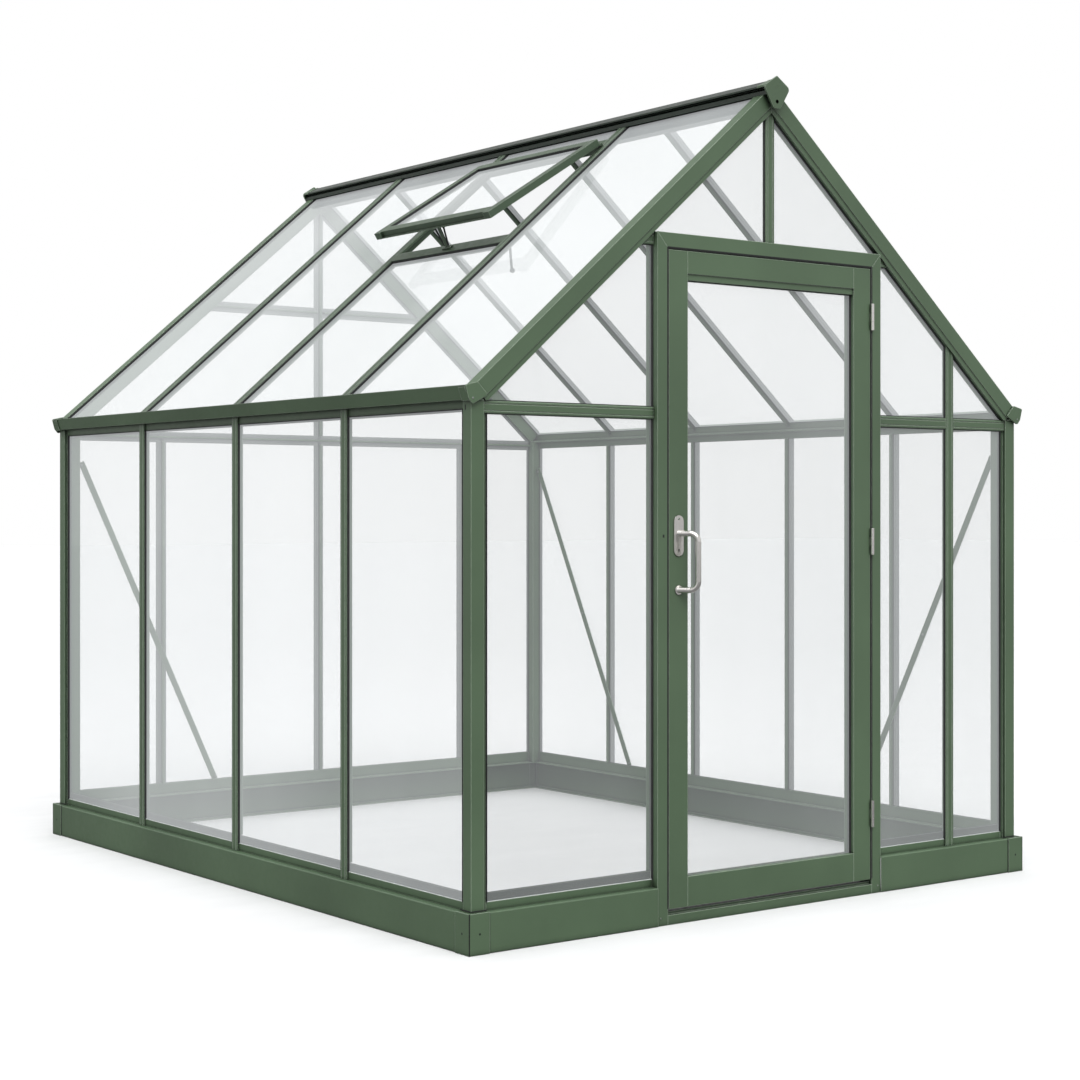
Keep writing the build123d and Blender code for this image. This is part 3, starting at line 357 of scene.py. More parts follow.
# %% [markdown]
# ## Brushed metal
# The pull handle and the hinges are brushed stainless steel, and the screws are plain zinc. The
# grain of a brush is a set of fine scratches along the bar. Single scratches would be lost at
# this size, so a noise stretched along the bar drives the tone, the gloss and a slight relief.

# %% Steel and zinc
def brushed_metal(name, colour, roughness, stretch):
    material, tree, shader = new_material(name)
    shader.inputs["Metallic"].default_value = 1.0
    grain = noise(tree, 180.0, 5.0, stretch)
    cloud = noise(tree, 9.0, 3.0)
    brushed = ramp(tree, grain, [(0.35, scaled(colour, 0.92)), (0.65, colour)])
    worn = mix_colour(tree, remap(tree, cloud, 0.0, 0.12), brushed, scaled(colour, 1.10))
    tree.links.new(worn, shader.inputs["Base Color"])
    rough = remap(tree, grain, roughness - 0.04, roughness + 0.06)
    tree.links.new(rough, shader.inputs["Roughness"])
    add_bump(tree, shader, grain, 0.03, 0.0001, rounded_normal(tree, 0.0006))
    return material


STEEL = brushed_metal("brushed_stainless", (0.82, 0.80, 0.77), 0.20, (1.0, 1.0, 0.12))
ZINC = brushed_metal("zinc_screw", (0.34, 0.38, 0.34), 0.38, (1.0, 1.0, 1.0))
print("metals", STEEL.name, ZINC.name)

# %% [markdown]
# ## Rubber, and a painted reflection
# The seals are dull black rubber. The pale line at the foot of each pane is a painted reflection
# of the glass's edge, made as a pale strip. Both are soft mouldings with a slight mottle and a
# faint relief. One helper makes the two, because only the tones, the grain's size and the gloss
# differ.

# %% Rubber and painted reflection
def moulding(name, scale, dark, light, gloss):
    material, tree, shader = new_material(name)
    grain = noise(tree, scale)
    tree.links.new(ramp(tree, grain, [(0.3, dark), (0.7, light)]), shader.inputs["Base Color"])
    tree.links.new(remap(tree, grain, *gloss), shader.inputs["Roughness"])
    add_bump(tree, shader, grain, 0.1, 0.0004)
    return material


RUBBER = (0.022, 0.024, 0.023)
BLACK = moulding("black_rubber", 240.0, scaled(RUBBER, 0.7), scaled(RUBBER, 1.3), (0.6, 0.8))
EDGE_REFLECTION = moulding("pale_glazing_strip", 60.0, (0.62, 0.66, 0.65), (0.80, 0.83, 0.82), (0.35, 0.5))
print("mouldings", BLACK.name, EDGE_REFLECTION.name)

# %% [markdown]
# ## Finishes on the solids
# Each solid gets one finish, by its name. Most of the house is the sage coat. The roof bars, the
# vent and the ridge look darker in the photograph, so they have darker copies of the sage coat,
# with painted shade in their colour.

# %% Finishes
FINISHES = {
    "pull_handle": STEEL,
    "door_hinges": STEEL,
    "frame_hinges": STEEL,
    "left_roof_bars": ROOF_SHADED_GREEN,
    "right_roof_bars": ROOF_SHADED_GREEN,
    "ridge_bar": RIDGE_SHADED_GREEN,
    "plinth_corners": COVER_GREEN,
}
for name, solid in nodes.items():
    if name.endswith("glass"):
        finish = GLASS
    elif name.startswith("vent_"):
        finish = ROOF_SHADED_GREEN
    else:
        finish = FINISHES.get(name, GREEN)
    solid.data.materials.clear()
    solid.data.materials.append(finish)
print("finished solids", len(nodes))

# %% [markdown]
# ## Meshes for the small fittings
# Screws, seals and rods are too fine for the solids, so they are real little meshes made here. A
# cube or cylinder from the menu would have hard edges and no socket. A turned outline makes a
# screw or a rod, and a strip with eased edges makes a seal. Each mesh then rides on the house
# or on the door.

# %% Mesh helpers
def finish_mesh(name, mesh, material, body):
    """Turns a bmesh into a piece of the house or of the door."""
    bmesh.ops.recalc_face_normals(mesh, faces=mesh.faces)
    data = bpy.data.meshes.new(name)
    mesh.to_mesh(data)
    mesh.free()
    piece = bpy.data.objects.new(name, data)
    scene.collection.objects.link(piece)
    data.materials.append(material)
    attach(piece, body)
    print("piece", name, "on", body, "faces", len(data.polygons))


def turn(mesh, place, axis, profile, segments=20):
    """Adds a turned form: profile is a list of (radius, height) along the axis."""
    spin = Vector((0, 0, 1)).rotation_difference(Vector(axis)).to_matrix()
    rings = []
    for radius, height in profile:
        ring = []
        for i in range(segments):
            angle = 2 * pi * i / segments
            point = spin @ Vector((radius * cos(angle), radius * sin(angle), height))
            ring.append(mesh.verts.new(Vector(place) + point))
        rings.append(ring)
    for low, high in zip(rings, rings[1:]):
        for i in range(segments):
            j = (i + 1) % segments
            mesh.faces.new((low[i], low[j], high[j], high[i]))
    mesh.faces.new(rings[-1])
    mesh.faces.new(rings[0])


def screw_profile(radius, rise):
    """Domed head with a round socket, as shares of the head's radius and rise."""
    shares = ((1, 0), (1, 0.45), (0.86, 0.85), (0.55, 1), (0.42, 1), (0.36, 0.35))
    return [(radius * out, rise * up) for out, up in shares]


def bar(mesh, start, end, across, width, thickness, ease=0.2):
    """Adds a straight strip from start to end with eased edges; across is its width direction."""
    start, end = Vector(start), Vector(end)
    run = (end - start).normalized()
    side = Vector(across).normalized()
    rise = run.cross(side).normalized()
    small = ease * min(width, thickness)
    half_w, half_t = width / 2, thickness / 2
    outline = [
        (-half_w + small, -half_t),
        (half_w - small, -half_t),
        (half_w, -half_t + small),
        (half_w, half_t - small),
        (half_w - small, half_t),
        (-half_w + small, half_t),
        (-half_w, half_t - small),
        (-half_w, -half_t + small),
    ]
    ends = []
    for place in (start, end):
        ends.append([mesh.verts.new(place + side * a + rise * b) for a, b in outline])
    count = len(outline)
    for i in range(count):
        j = (i + 1) % count
        mesh.faces.new((ends[0][i], ends[0][j], ends[1][j], ends[1][i]))
    mesh.faces.new(ends[0])
    mesh.faces.new(ends[1])


print("helpers made: piece, turned form, screw, strip")

# %% [markdown]
# ## Screws of the caps
# Each gutter cap is held by one screw. The shield on the end of the ridge has two: a small one
# above and one near the tip, which sits in a recess. The recess is a thin black disc round that
# screw, painted shade. All are turned forms, because a round outline with its socket is quicker
# to turn than to model. The shield's screws are sunk by their own rise, so that nothing stands
# past it.

# %% Screws of the gutter and ridge caps
caps_low, caps_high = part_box("gutter_end_caps")
shields_low, shields_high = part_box("ridge_end_caps")
CAP_SCREW_OUT = 0.002
CAP_SCREW_UP = 0.004
UPPER_SCREW_DROP = 0.031
TIP_SCREW_DROP = 0.075
SHIELD_SCREW_RISE = 0.0006
RECESS_SHADE_RISE = 0.0004
upper_z = shields_high.z - UPPER_SCREW_DROP
tip_z = shields_high.z - TIP_SCREW_DROP
recess_shade = [(0.0062, 0), (0.0062, RECESS_SHADE_RISE / 2), (0.0058, RECESS_SHADE_RISE), (0.0036, RECESS_SHADE_RISE)]
cap_screws, cap_recess_shade = bmesh.new(), bmesh.new()
for out, cap_y, shield_y in (
    (-1, caps_low.y, shields_low.y),
    (1, caps_high.y, shields_high.y),
):
    axis = (0, out, 0)
    for side in (-1, 1):
        place = (side * (HALF + CAP_SCREW_OUT), cap_y, EAVES + CAP_SCREW_UP)
        turn(cap_screws, place, axis, screw_profile(0.0032, 0.0008))
    sunk_y = shield_y - out * SHIELD_SCREW_RISE
    turn(cap_screws, (0, sunk_y, upper_z), axis, screw_profile(0.0024, SHIELD_SCREW_RISE))
    turn(cap_recess_shade, (0, shield_y - out * RECESS_SHADE_RISE, tip_z), axis, recess_shade, 24)
    turn(cap_screws, (0, sunk_y, tip_z), axis, screw_profile(0.0034, SHIELD_SCREW_RISE))
finish_mesh("cap_screws", cap_screws, ZINC, "house")
finish_mesh("cap_recess_shade", cap_recess_shade, BLACK, "house")

# %% [markdown]
# ## Handle plate
# The plate behind the pull handle has a screw at the top and a small keyhole near the foot. The
# keyhole could be a cut in the solid, which is left alone, so it is a thin black inlay of a
# turned disc and a short slot, painted shade of the hole. Both swing with the door.

# %% Screw and keyhole of the handle plate
handle_low, handle_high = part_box("pull_handle")
stile_low, stile_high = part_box("door_stiles")
LEAF_FACE = stile_low.y
PLATE_WIDTH, PLATE_HEIGHT, PLATE_THICKNESS = 0.035, 0.115, 0.003
PLATE_SCREW_DROP = 0.010
KEYHOLE_RISE = 0.018
KEYHOLE_SLOT = 0.007
plate_x = handle_low.x + PLATE_WIDTH / 2
plate_face = LEAF_FACE - PLATE_THICKNESS
plate_top = handle_high.z
outwards = (0, -1, 0)
plate_screw = bmesh.new()
place = (plate_x, plate_face, plate_top - PLATE_SCREW_DROP)
turn(plate_screw, place, outwards, screw_profile(0.0034, 0.0011))
finish_mesh("plate_screw", plate_screw, ZINC, "door")
keyhole_shade = bmesh.new()
key_z = plate_top - PLATE_HEIGHT + KEYHOLE_RISE
disc = [(0.0028, 0), (0.0028, 0.0003), (0.0025, 0.0005)]
turn(keyhole_shade, (plate_x, plate_face, key_z), outwards, disc)
slot_y = plate_face - 0.0002
slot_foot = (plate_x, slot_y, key_z - KEYHOLE_SLOT)
bar(keyhole_shade, (plate_x, slot_y, key_z), slot_foot, (1, 0, 0), 0.0030, 0.0005)
finish_mesh("keyhole_shade", keyhole_shade, BLACK, "door")

# %% [markdown]
# ## Screws and strike of the door frame
# Each jamb has a screw near the ground, and a small dark opening beside the lock is where the
# strike sits. The opening is a thin black strip, painted shade of the hole. They stay on the
# house when the door swings. The opening's height follows the plate, since the two belong to one
# lock.

# %% Jamb screws and strike
jamb_low, jamb_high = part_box("door_jambs")
FRAME_FACE = jamb_low.y
FOOT_SCREW_INSET = 0.012
FOOT_SCREW_HEIGHT = 0.022
STRIKE_INSET = 0.022
STRIKE_HEIGHT = 0.008
STRIKE_DROP = 0.062
foot_screws = bmesh.new()
for side in (-1, 1):
    place = (side * (jamb_high.x - FOOT_SCREW_INSET), FRAME_FACE, FOOT_SCREW_HEIGHT)
    turn(foot_screws, place, outwards, screw_profile(0.0030, 0.0010))
finish_mesh("jamb_foot_screws", foot_screws, ZINC, "house")
strike_shade = bmesh.new()
strike_foot = Vector((jamb_low.x + STRIKE_INSET, FRAME_FACE, plate_top - STRIKE_DROP))
strike_head = strike_foot + Vector((0, 0, STRIKE_HEIGHT))
bar(strike_shade, strike_foot, strike_head, (1, 0, 0), 0.006, 0.0006)
finish_mesh("strike_opening_shade", strike_shade, BLACK, "house")

# %% [markdown]
# ## Brush seal of the door
# The leaf closes on a black brush inside the jambs and the head. A real brush has thousands of
# hairs, far below what shows here, so a strip stands for it. A thin black lip on the face of the
# frame is painted shade: it widens the dark line of the gap round the leaf. The brush and the lip
# stay on the frame when the door swings.

# %% Brush seal
DOOR_GAP = 0.005
SEAL_DEPTH = 0.014
SEAL_THICK = 0.0034
SEAL_SETBACK = 0.0006
SEAL_END_GAP = 0.002
SHADE_LIP_WIDTH = 0.0026
SHADE_LIP_THICK = 0.0004
SHADE_LIP_BITE = 0.0001
inner = stile_high.x + DOOR_GAP
head_z = stile_high.z + DOOR_GAP
foot_z = stile_low.z + SEAL_END_GAP
seal_y = FRAME_FACE + SEAL_SETBACK + SEAL_DEPTH / 2
shade_lip_y = FRAME_FACE - SHADE_LIP_THICK / 2 + SHADE_LIP_BITE
shade_lip_x = inner + SHADE_LIP_WIDTH / 2
shade_lip_z = head_z + SHADE_LIP_WIDTH / 2
seal = bmesh.new()
for side in (-1, 1):
    x = side * (inner - SEAL_THICK / 2)
    start, end = (x, seal_y, foot_z), (x, seal_y, head_z - SEAL_END_GAP)
    bar(seal, start, end, (0, 1, 0), SEAL_DEPTH, SEAL_THICK)
top_z = head_z - SEAL_THICK / 2
bar(seal, (-inner, seal_y, top_z), (inner, seal_y, top_z), (0, 1, 0), SEAL_DEPTH, SEAL_THICK)
# The lip: black strips on the frame's face, painted shade of the gap round the leaf.
for side in (-1, 1):
    start, end = (side * shade_lip_x, shade_lip_y, foot_z), (side * shade_lip_x, shade_lip_y, shade_lip_z)
    bar(seal, start, end, (1, 0, 0), SHADE_LIP_WIDTH, SHADE_LIP_THICK)
bar(seal, (-shade_lip_x, shade_lip_y, shade_lip_z), (shade_lip_x, shade_lip_y, shade_lip_z), (0, 0, 1), SHADE_LIP_WIDTH, SHADE_LIP_THICK)
finish_mesh("brush_seal_and_shade_lip", seal, BLACK, "house")

# %% [markdown]
# ## Painted shade in the door's edge gap
# A thin black strip lines the free edge of the leaf and swings with it. It is painted shade: it
# keeps the gap beside the lock dark when the brush behind it is in the light. A second colour on
# the solid's edge would need a cut in its mesh. A strip a little over half a millimetre thick
# needs none.

# %% Edge gap shade
GAP_SHADE_DEPTH = 0.030
GAP_SHADE_THICK = 0.0006
GAP_SHADE_SETBACK = 0.0002
GAP_SHADE_END_GAP = 0.002
gap_shade = bmesh.new()
gap_shade_x = stile_low.x - GAP_SHADE_THICK / 2
gap_shade_y = LEAF_FACE + GAP_SHADE_SETBACK + GAP_SHADE_DEPTH / 2
start = (gap_shade_x, gap_shade_y, stile_low.z + GAP_SHADE_END_GAP)
end = (gap_shade_x, gap_shade_y, stile_high.z - GAP_SHADE_END_GAP)
bar(gap_shade, start, end, (0, 1, 0), GAP_SHADE_DEPTH, GAP_SHADE_THICK)
finish_mesh("leaf_edge_gap_shade", gap_shade, BLACK, "door")

# %% [markdown]
# ## Painted reflection on the sills
# Along the foot of the glass, a pale strip on the sill is a painted reflection: the thin bright
# line of the glass's edge. One strip runs along each side, one along the back, and one on either
# side of the door. Their places come from the boxes of the sill rails.

# %% Sill reflection lines
sides_low, sides_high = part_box("side_sills")
ends_low, ends_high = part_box("end_sills")
SILL_LIP = 0.022
REFLECTION_WIDTH, REFLECTION_THICK, REFLECTION_EASE = 0.0028, 0.002, 0.3
reflection_x = sides_high.x - REFLECTION_WIDTH / 2
front_y = ends_low.y + REFLECTION_WIDTH / 2
back_y = ends_high.y - REFLECTION_WIDTH / 2
lip_top = PLINTH + SILL_LIP
runs = [
    ((-reflection_x, sides_low.y), (-reflection_x, sides_high.y), (1, 0, 0)),
    ((reflection_x, sides_low.y), (reflection_x, sides_high.y), (1, 0, 0)),
    ((ends_low.x, front_y), (jamb_low.x, front_y), (0, 1, 0)),
    ((jamb_high.x, front_y), (ends_high.x, front_y), (0, 1, 0)),
    ((ends_low.x, back_y), (ends_high.x, back_y), (0, 1, 0)),
]
reflection_lines = bmesh.new()
for start, end, across in runs:
    bar(reflection_lines, (*start, lip_top), (*end, lip_top), across, REFLECTION_WIDTH, REFLECTION_THICK, REFLECTION_EASE)
finish_mesh("sill_reflection_lines", reflection_lines, EDGE_REFLECTION, "house")

# %% [markdown]
# ## Where the frame ends on each pane
# Black rubber lies along every pane where a bar, rail or rake covers its edge. The overlap is
# not the same all round, and a table of it would be long and would go out of date. So short rays
# run just above the pane's face, from inside the pane towards its edge, until they meet the
# frame. The tree of all the frame's faces makes these rays quick.

# %% Pane faces and the frame round them
PROBE = 0.045
PROBE_HEIGHT = 0.0012
PROBE_PAST_EDGE = 0.006
PROBE_SHARES = (0.3, 0.7)
SMALLEST_FACE = 0.0095  # square metres: more than a pane's edge, less than its broad face
every = bmesh.new()
for name, solid in nodes.items():
    if "glass" not in name:
        every.from_mesh(solid.data)
frame_tree = BVHTree.FromBMesh(every)
print("faces of the frame", len(every.faces))
every.free()


def pane_faces(name):
    """Corners and normal of both broad faces of every pane in a glass node."""
    mesh = bmesh.new()
    mesh.from_mesh(nodes[name].data)
    bmesh.ops.remove_doubles(mesh, verts=mesh.verts, dist=1e-5)
    bmesh.ops.dissolve_limit(mesh, angle_limit=radians(1), verts=mesh.verts, edges=mesh.edges)
    found = []
    for face in mesh.faces:
        if face.calc_area() > SMALLEST_FACE:
            found.append(([v.co.copy() for v in face.verts], face.normal.copy()))
    mesh.free()
    return found


def frame_inset(start, end, into, normal):
    """How far inside a pane's edge the frame ends, or None where no frame lies on it."""
    insets = []
    for share in PROBE_SHARES:
        origin = start.lerp(end, share) + into * PROBE + normal * PROBE_HEIGHT
        place, _, _, distance = frame_tree.ray_cast(origin, -into, PROBE + PROBE_PAST_EDGE)
        if place is not None:
            insets.append(PROBE - distance)
    return max(insets) if insets else None


# %% [markdown]
# ## Black glazing seals
# Outside, a strip fills the step between the glass and the bar's cap. Inside, a thin wedge is
# pushed in beside the web. These dark lines round the glass make the frame read as glazed. The
# edges of a pane are first moved in to where the frame ends, and the seals then run between the
# crossings of neighbouring edges, so that they meet in the corners.

# %% Seal round one pane
SHORTEST_SEAL = 0.02
SAME_DIRECTION = 0.02


def crossing(before, here):
    """Where two edges in one plane cross; each is (start, direction, into, inset)."""
    across = before[1].cross(here[1])
    if across.length < SAME_DIRECTION:
        return here[0]
    gap = here[0] - before[0]
    return before[0] + before[1] * (gap.cross(here[1]).dot(across) / across.length_squared)


def seal_round(mesh, corners, normal, width, height, lowest=0.0):
    """Lays a seal along every edge that the frame covers, but not below the lowest height."""
    count = len(corners)
    lines = []
    for i in range(count):
        start, end = corners[i], corners[(i + 1) % count]
        run = (end - start).normalized()
        into = normal.cross(run)
        inset = frame_inset(start, end, into, normal)
        lines.append((start + into * (inset or 0.0), run, into, inset))
    points = [crossing(lines[i - 1], lines[i]) for i in range(count)]
    for i in range(count):
        start, end = points[i], points[(i + 1) % count]
        into, inset = lines[i][2], lines[i][3]
        if inset is None or (end - start).length < SHORTEST_SEAL or max(start.z, end.z) < lowest:
            continue
        shift = into * width / 2 + normal * height / 2
        bar(mesh, start + shift, end + shift, into, width, height, 0.15)


# %% [markdown]
# ## Seals outside and inside
# A pane has two broad faces. The face that looks away from the middle of the house gets the outer
# strip, and the other one gets the wedge. This one test serves the walls and both roof slopes,
# where a list of directions would need an entry for each of them.

# %% Seals on all panes
OUTER_WIDTH, OUTER_HEIGHT = 0.0022, 0.0070
WEDGE_WIDTH, WEDGE_HEIGHT = 0.0016, 0.0020
FOOT_OF_PANES = PLINTH + 0.03  # the sill strips already line the panes below this
centre = Vector((0, (FRONT + BACK) / 2, EAVES))
laid = 0
for body, names in (
    ("house", [name for name in nodes if "glass" in name and name != "door_glass"]),
    ("door", ["door_glass"]),
):
    outer, wedges = bmesh.new(), bmesh.new()
    for name in names:
        for corners, normal in pane_faces(name):
            middle = sum(corners, Vector()) / len(corners)
            if normal.dot(middle - centre) > 0:
                seal_round(outer, corners, normal, OUTER_WIDTH, OUTER_HEIGHT, FOOT_OF_PANES)
            else:
                seal_round(wedges, corners, normal, WEDGE_WIDTH, WEDGE_HEIGHT)
            laid += 1
    finish_mesh(body + "_outer_seals", outer, BLACK, body)
    finish_mesh(body + "_inner_wedges", wedges, BLACK, body)
print("pane faces sealed", laid)

# %% [markdown]
# ## Shade lines at the corner covers
# A cover laps over the plinth's channels, and the posts stand on it. Shade falls in these joints
# as fine dark lines. The coat alone wouldn't show them at this size, so thin black strips lie at
# the ends of each cover and along the feet of the posts as painted shade.

# %% Cover shade lines
COVER_REACH = 0.063
COVER_THICK = 0.003
SHADE_LINE_WIDTH, SHADE_LINE_THICK = 0.0055, 0.0016
FOOT_SHADE_WIDTH, FOOT_SHADE_THICK = 0.0028, 0.0012
FOOT_SHADE_REACH = 0.050
SHADE_LINE_FOOT = 0.001
shade_line_out = COVER_REACH + SHADE_LINE_WIDTH / 2
shade_line_head = cover_high.z - COVER_THICK
upright = (0, 0, 1)
z = cover_high.z + FOOT_SHADE_WIDTH / 2
seam_shade = bmesh.new()
for x_side, corner_x in ((-1, cover_low.x), (1, cover_high.x)):
    for y_side, corner_y, post_y in ((-1, cover_low.y, FRONT), (1, cover_high.y, BACK)):
        channel_x = corner_x - x_side * COVER_THICK
        channel_y = corner_y - y_side * COVER_THICK
        for x, y, across in (
            (corner_x - x_side * shade_line_out, channel_y, (1, 0, 0)),
            (channel_x, corner_y - y_side * shade_line_out, (0, 1, 0)),
        ):
            bar(seam_shade, (x, y, SHADE_LINE_FOOT), (x, y, shade_line_head), across, SHADE_LINE_WIDTH, SHADE_LINE_THICK)
        post_x = x_side * HALF
        for x, y in (
            (post_x - x_side * FOOT_SHADE_REACH, post_y),
            (post_x, post_y - y_side * FOOT_SHADE_REACH),
        ):
            bar(seam_shade, (post_x, post_y, z), (x, y, z), upright, FOOT_SHADE_WIDTH, FOOT_SHADE_THICK)
finish_mesh("cover_shade_lines", seam_shade, BLACK, "house")

# %% [markdown]
# ## Opener rods of the roof vent
# The vent is pushed up by two thin rods that spread from a foot on the crossbar to the sash,
# each with a small nut at its head. They could be curves with a bevel, but a turned outline along
# the rod's own direction gives rod and nut with one helper.

# %% Opener rods
stay_low, stay_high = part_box("vent_stay")
ROD_RADIUS = 0.0030
NUT_RADIUS, NUT_HEIGHT = 0.0048, 0.006
NUT_BACK = 0.004
ROD_SPREAD = 0.016
stay_y = (stay_low.y + stay_high.y) / 2
foot_x, foot_z = stay_high.x - 0.010, stay_low.z + 0.012
head_x, head_z = stay_low.x + 0.006, stay_high.z - 0.006
nut = [(NUT_RADIUS, 0), (NUT_RADIUS, NUT_HEIGHT), (ROD_RADIUS, NUT_HEIGHT + 0.002)]
rods = bmesh.new()
for shift in (-ROD_SPREAD, ROD_SPREAD):
    start = Vector((foot_x, stay_y + shift * 0.6, foot_z))
    end = Vector((head_x, stay_y + shift * 1.5, head_z))
    run = end - start
    turn(rods, start, run, [(ROD_RADIUS, 0), (ROD_RADIUS, run.length)], 12)
    turn(rods, end - run.normalized() * NUT_BACK, run, nut, 16)
finish_mesh("opener_rods", rods, BLACK, "house")

# %% [markdown]
# ## Stay arm of the roof vent
# A flat arm hangs inside from the end of the crossbar, with a round knob to pull on. It could be
# one sculpted form, but the two helpers are enough: the arm is a strip, and the knob is turned on
# an axis along the house.

# %% Stay arm
bars_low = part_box("vent_bars")[0]
ARM_IN, ARM_ALONG, ARM_UP = 0.040, 0.020, 0.004
ARM_LENGTH = 0.075
ARM_WIDTH, ARM_THICK = 0.009, 0.003
ARM_LEAN = 0.006
KNOB_UP = 0.006
knob = [(0.002, -0.004), (0.007, -0.001), (0.008, 0.003), (0.006, 0.008), (0.002, 0.010)]
arm_top = Vector((bars_low.x + ARM_IN, bars_low.y + ARM_ALONG, bars_low.z + ARM_UP))
arm_foot = arm_top + Vector((ARM_LEAN, -0.002, -ARM_LENGTH))
knob_place = arm_top + Vector((ARM_LEAN, -0.006, KNOB_UP - ARM_LENGTH))
arm = bmesh.new()
bar(arm, arm_top, arm_foot, (1, 0, 0), ARM_WIDTH, ARM_THICK, 0.3)
turn(arm, knob_place, (0, 1, 0), knob, 16)
finish_mesh("stay_arm", arm, BLACK, "house")

# %% [markdown]
# ## Bolts of the braces
# Each flat brace is bolted near both ends, and the two on the right wall also at the middle, with
# the nuts on the room's side. The places are read from the corners of the braces themselves. The
# mean of the corners near an end is the middle of that end.

# %% Brace bolts
NUT_OUT, NUT_RISE = 0.0055, 0.0035
BOLT_INSET = 0.016
END_REACH = 0.03
WALL_REACH = 0.05
X, Y = 0, 1


def bolt_brace(mesh, corners, through, along, at_middle):
    """Bolts one brace: through is the axis of its thickness, along the axis of its wall."""
    inner = min(corner[through] for corner in corners)
    axis = Vector((0, 0, 0))
    axis[through] = -1
    low_z, high_z = min(c.z for c in corners), max(c.z for c in corners)
    spots = []
    for end_z, shift in ((high_z, -BOLT_INSET), (low_z, BOLT_INSET)):
        near = [corner[along] for corner in corners if abs(corner.z - end_z) < END_REACH]
        spots.append((sum(near) / len(near), end_z + shift))
    if at_middle:
        lengthwise = [corner[along] for corner in corners]
        spots.append(((min(lengthwise) + max(lengthwise)) / 2, (low_z + high_z) / 2))
    for position, height in spots:
        place = Vector((0, 0, height))
        place[through] = inner
        place[along] = position
        turn(mesh, place, axis, screw_profile(NUT_OUT, NUT_RISE), 6)


corners = [vertex.co for vertex in nodes["wall_braces"].data.vertices]
right = [c for c in corners if c.x > HALF - WALL_REACH]
back = [c for c in corners if c.y > BACK - WALL_REACH and c.x < HALF - 0.06]
bolts = bmesh.new()
bolt_brace(bolts, [c for c in right if c.y < centre.y], X, Y, True)
bolt_brace(bolts, [c for c in right if c.y > centre.y], X, Y, True)
bolt_brace(bolts, back, Y, X, False)
finish_mesh("brace_bolts", bolts, ZINC, "house")

# %% [markdown]
# ## Slots in the corner posts
# Each corner post has a short slot just under the gutter, where a fixing goes in. A slot in the
# solid would be a new cut, so a thin black inlay on the post's outer face stands for it, as
# painted shade of the opening.

# %% Post slots
SLOT_INSET, SLOT_DROP = 0.026, 0.012
SLOT_LENGTH, SLOT_WIDTH, SLOT_THICK = 0.014, 0.004, 0.0006
slot_shade = bmesh.new()
for x_side in (-1, 1):
    for y in (FRONT + SLOT_INSET, BACK - SLOT_INSET):
        head = Vector((x_side * HALF, y, EAVES - SLOT_DROP))
        bar(slot_shade, head, head - Vector((0, 0, SLOT_LENGTH)), (0, 1, 0), SLOT_WIDTH, SLOT_THICK)
finish_mesh("post_slot_shade", slot_shade, BLACK, "house")

# %% [markdown]
# ## Floor of the studio
# The ground is a pale sheet that runs to the horizon. The camera sees it nearly white, and beyond
# a few metres close to the white air, so that hardly any horizon shows through the panes. For the
# light that bounces off it, it is much darker. Otherwise it would light the undersides, and the
# coat's shades would wash out.

# %% Floor
REACH = 60.0
NEAR_GROUND, FAR_GROUND = 2.5, 11.0
floor_mesh = bpy.data.meshes.new("floor")
floor_corners = [(-REACH, -REACH, 0), (REACH, -REACH, 0), (REACH, REACH, 0), (-REACH, REACH, 0)]
floor_mesh.from_pydata(floor_corners, [], [(0, 1, 2, 3)])
floor = bpy.data.objects.new("floor", floor_mesh)
scene.collection.objects.link(floor)
material, tree, shader = new_material("pale_floor")
cloud = noise(tree, 2.5, 4.0, (1.0, 2.6, 1.0))
near = ramp(tree, cloud, [(0.3, (0.80, 0.805, 0.812)), (0.7, (0.845, 0.85, 0.855))])
ground = tree.nodes.new("ShaderNodeTexCoord").outputs["Object"]
far = remap(tree, compute(tree, "LENGTH", ground), 0.0, 1.0, NEAR_GROUND, FAR_GROUND)
seen = mix_colour(tree, far, near, (0.762, 0.767, 0.772))
path = tree.nodes.new("ShaderNodeLightPath")
bounced = mix_colour(tree, path.outputs["Is Glossy Ray"], (0.22, 0.22, 0.22), (0.16, 0.16, 0.16))
colour = mix_colour(tree, path.outputs["Is Camera Ray"], bounced, seen)
tree.links.new(colour, shader.inputs["Base Color"])
shader.inputs["Roughness"].default_value = 0.9
floor_mesh.materials.append(material)
print("floor", 2 * REACH, "m wide")

# %% [markdown]
# ## White air
# The background is plain white for the camera. As a light it would be flat on all sides, so the
# light that reaches the house comes from a room that is bright above and dim below. Mirrored in
# metal and glass, the room is one light grey.

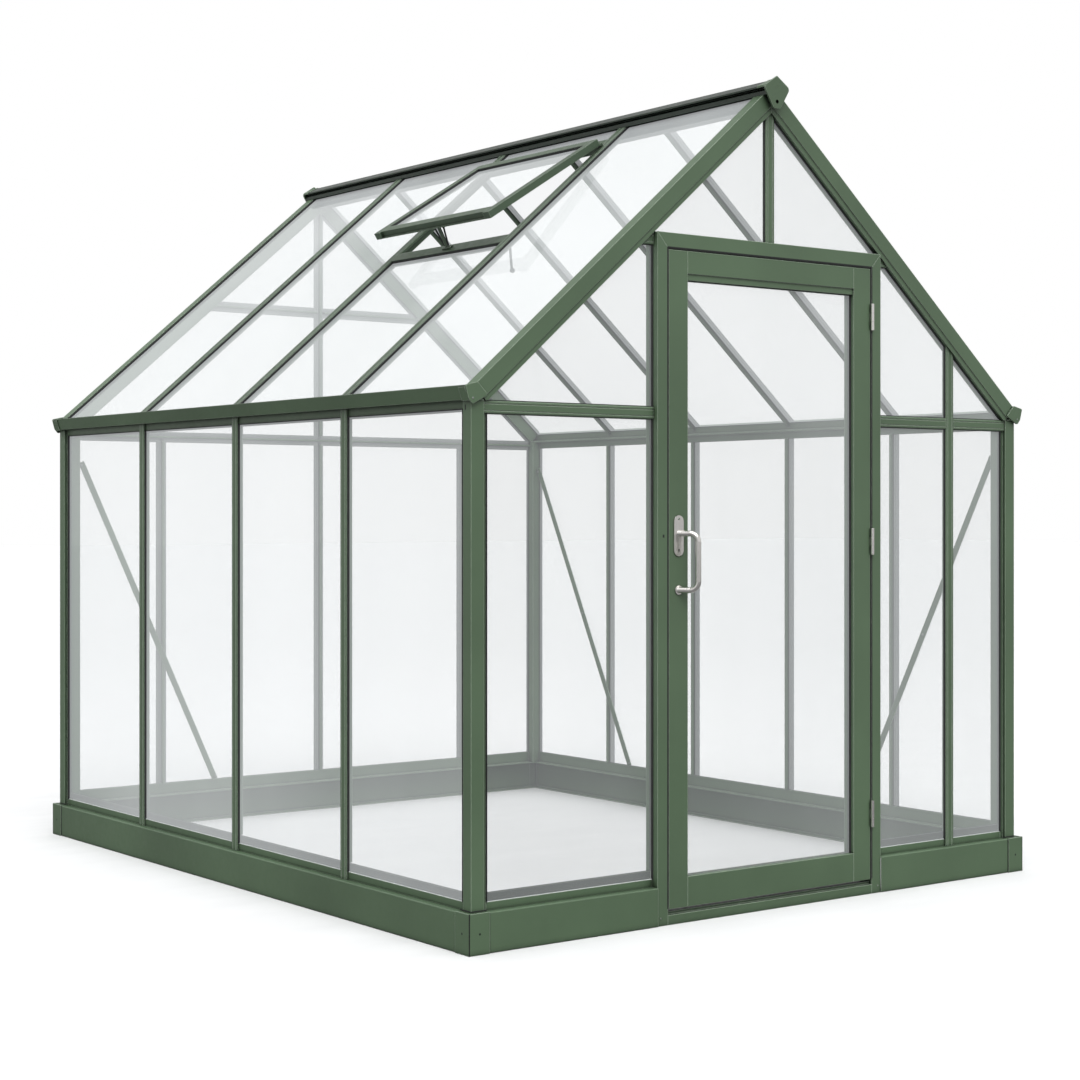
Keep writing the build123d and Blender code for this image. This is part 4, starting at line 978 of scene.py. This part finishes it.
# %% World
world = bpy.data.worlds.new("white_room")
scene.world = world
world.use_nodes = True
tree = world.node_tree
white = tree.nodes["Background"]
white.inputs["Color"].default_value = (1, 1, 1, 1)
white.inputs["Strength"].default_value = 1.0
room = tree.nodes.new("ShaderNodeBackground")
room.inputs["Strength"].default_value = 1.0
direction = tree.nodes.new("ShaderNodeTexCoord")
split = tree.nodes.new("ShaderNodeSeparateXYZ")
tree.links.new(direction.outputs["Generated"], split.inputs["Vector"])
height = remap(tree, split.outputs["Z"], 0.0, 1.0, -1.0, 1.0)
shades = [(0.40, (0.12, 0.12, 0.12)), (0.52, (0.50, 0.50, 0.50)), (0.95, (1.0, 1.0, 1.0))]
path = tree.nodes.new("ShaderNodeLightPath")
mirrored = (0.72, 0.72, 0.72)
lit = mix_colour(tree, path.outputs["Is Glossy Ray"], ramp(tree, height, shades), mirrored)
tree.links.new(lit, room.inputs["Color"])
choose = tree.nodes.new("ShaderNodeMixShader")
tree.links.new(path.outputs["Is Camera Ray"], choose.inputs["Fac"])
tree.links.new(room.outputs["Background"], choose.inputs[1])
tree.links.new(white.outputs["Background"], choose.inputs[2])
tree.links.new(choose.outputs["Shader"], tree.nodes["World Output"].inputs["Surface"])
print("world", world.name)

# %% [markdown]
# ## Key light
# One large soft light stands high, in front of the house and to its left. An area lamp would need
# a size and a place for each house. A sun with a wide angle is as soft and needs only a
# direction.

# %% Key light
key_data = bpy.data.lights.new("key", "SUN")
key_data.energy = 2.0
key_data.angle = radians(50)
key = bpy.data.objects.new("key", key_data)
key.rotation_mode = "QUATERNION"
key.rotation_quaternion = Vector((0.30, 0.62, -1.0)).to_track_quat("-Z", "Y")
scene.collection.objects.link(key)
print("key light", key_data.energy)

# %% [markdown]
# ## Camera
# The photograph was taken at about the height of a person's chest, left of the front gable, with
# upright walls that stay upright. So the camera is level, and the picture is shifted down
# in it, where tilting the camera would make the posts lean. Place, turn and lens come from
# fitting the house's corners to the photograph.

# %% Camera
EYE = (-4.209, -5.737, 1.158)
TURN_RIGHT = radians(36.96)
PHOTO_SIZE = 1080  # pixels
FOCAL_LENGTH = 2092  # pixels
EYE_LEVEL_ROW = 511.4  # pixels from the top of the photograph
camera_data = bpy.data.cameras.new("camera")
camera = bpy.data.objects.new("camera", camera_data)
scene.collection.objects.link(camera)
scene.camera = camera
camera.location = EYE
camera.rotation_euler = (pi / 2, 0, -TURN_RIGHT)
camera_data.sensor_width = 36
camera_data.lens = FOCAL_LENGTH / PHOTO_SIZE * camera_data.sensor_width
camera_data.shift_y = -(PHOTO_SIZE / 2 - EYE_LEVEL_ROW) / PHOTO_SIZE
camera_data.clip_end = 200
scene.view_settings.view_transform = "Standard"
print("camera at", EYE, "lens", round(camera_data.lens, 2), "mm")
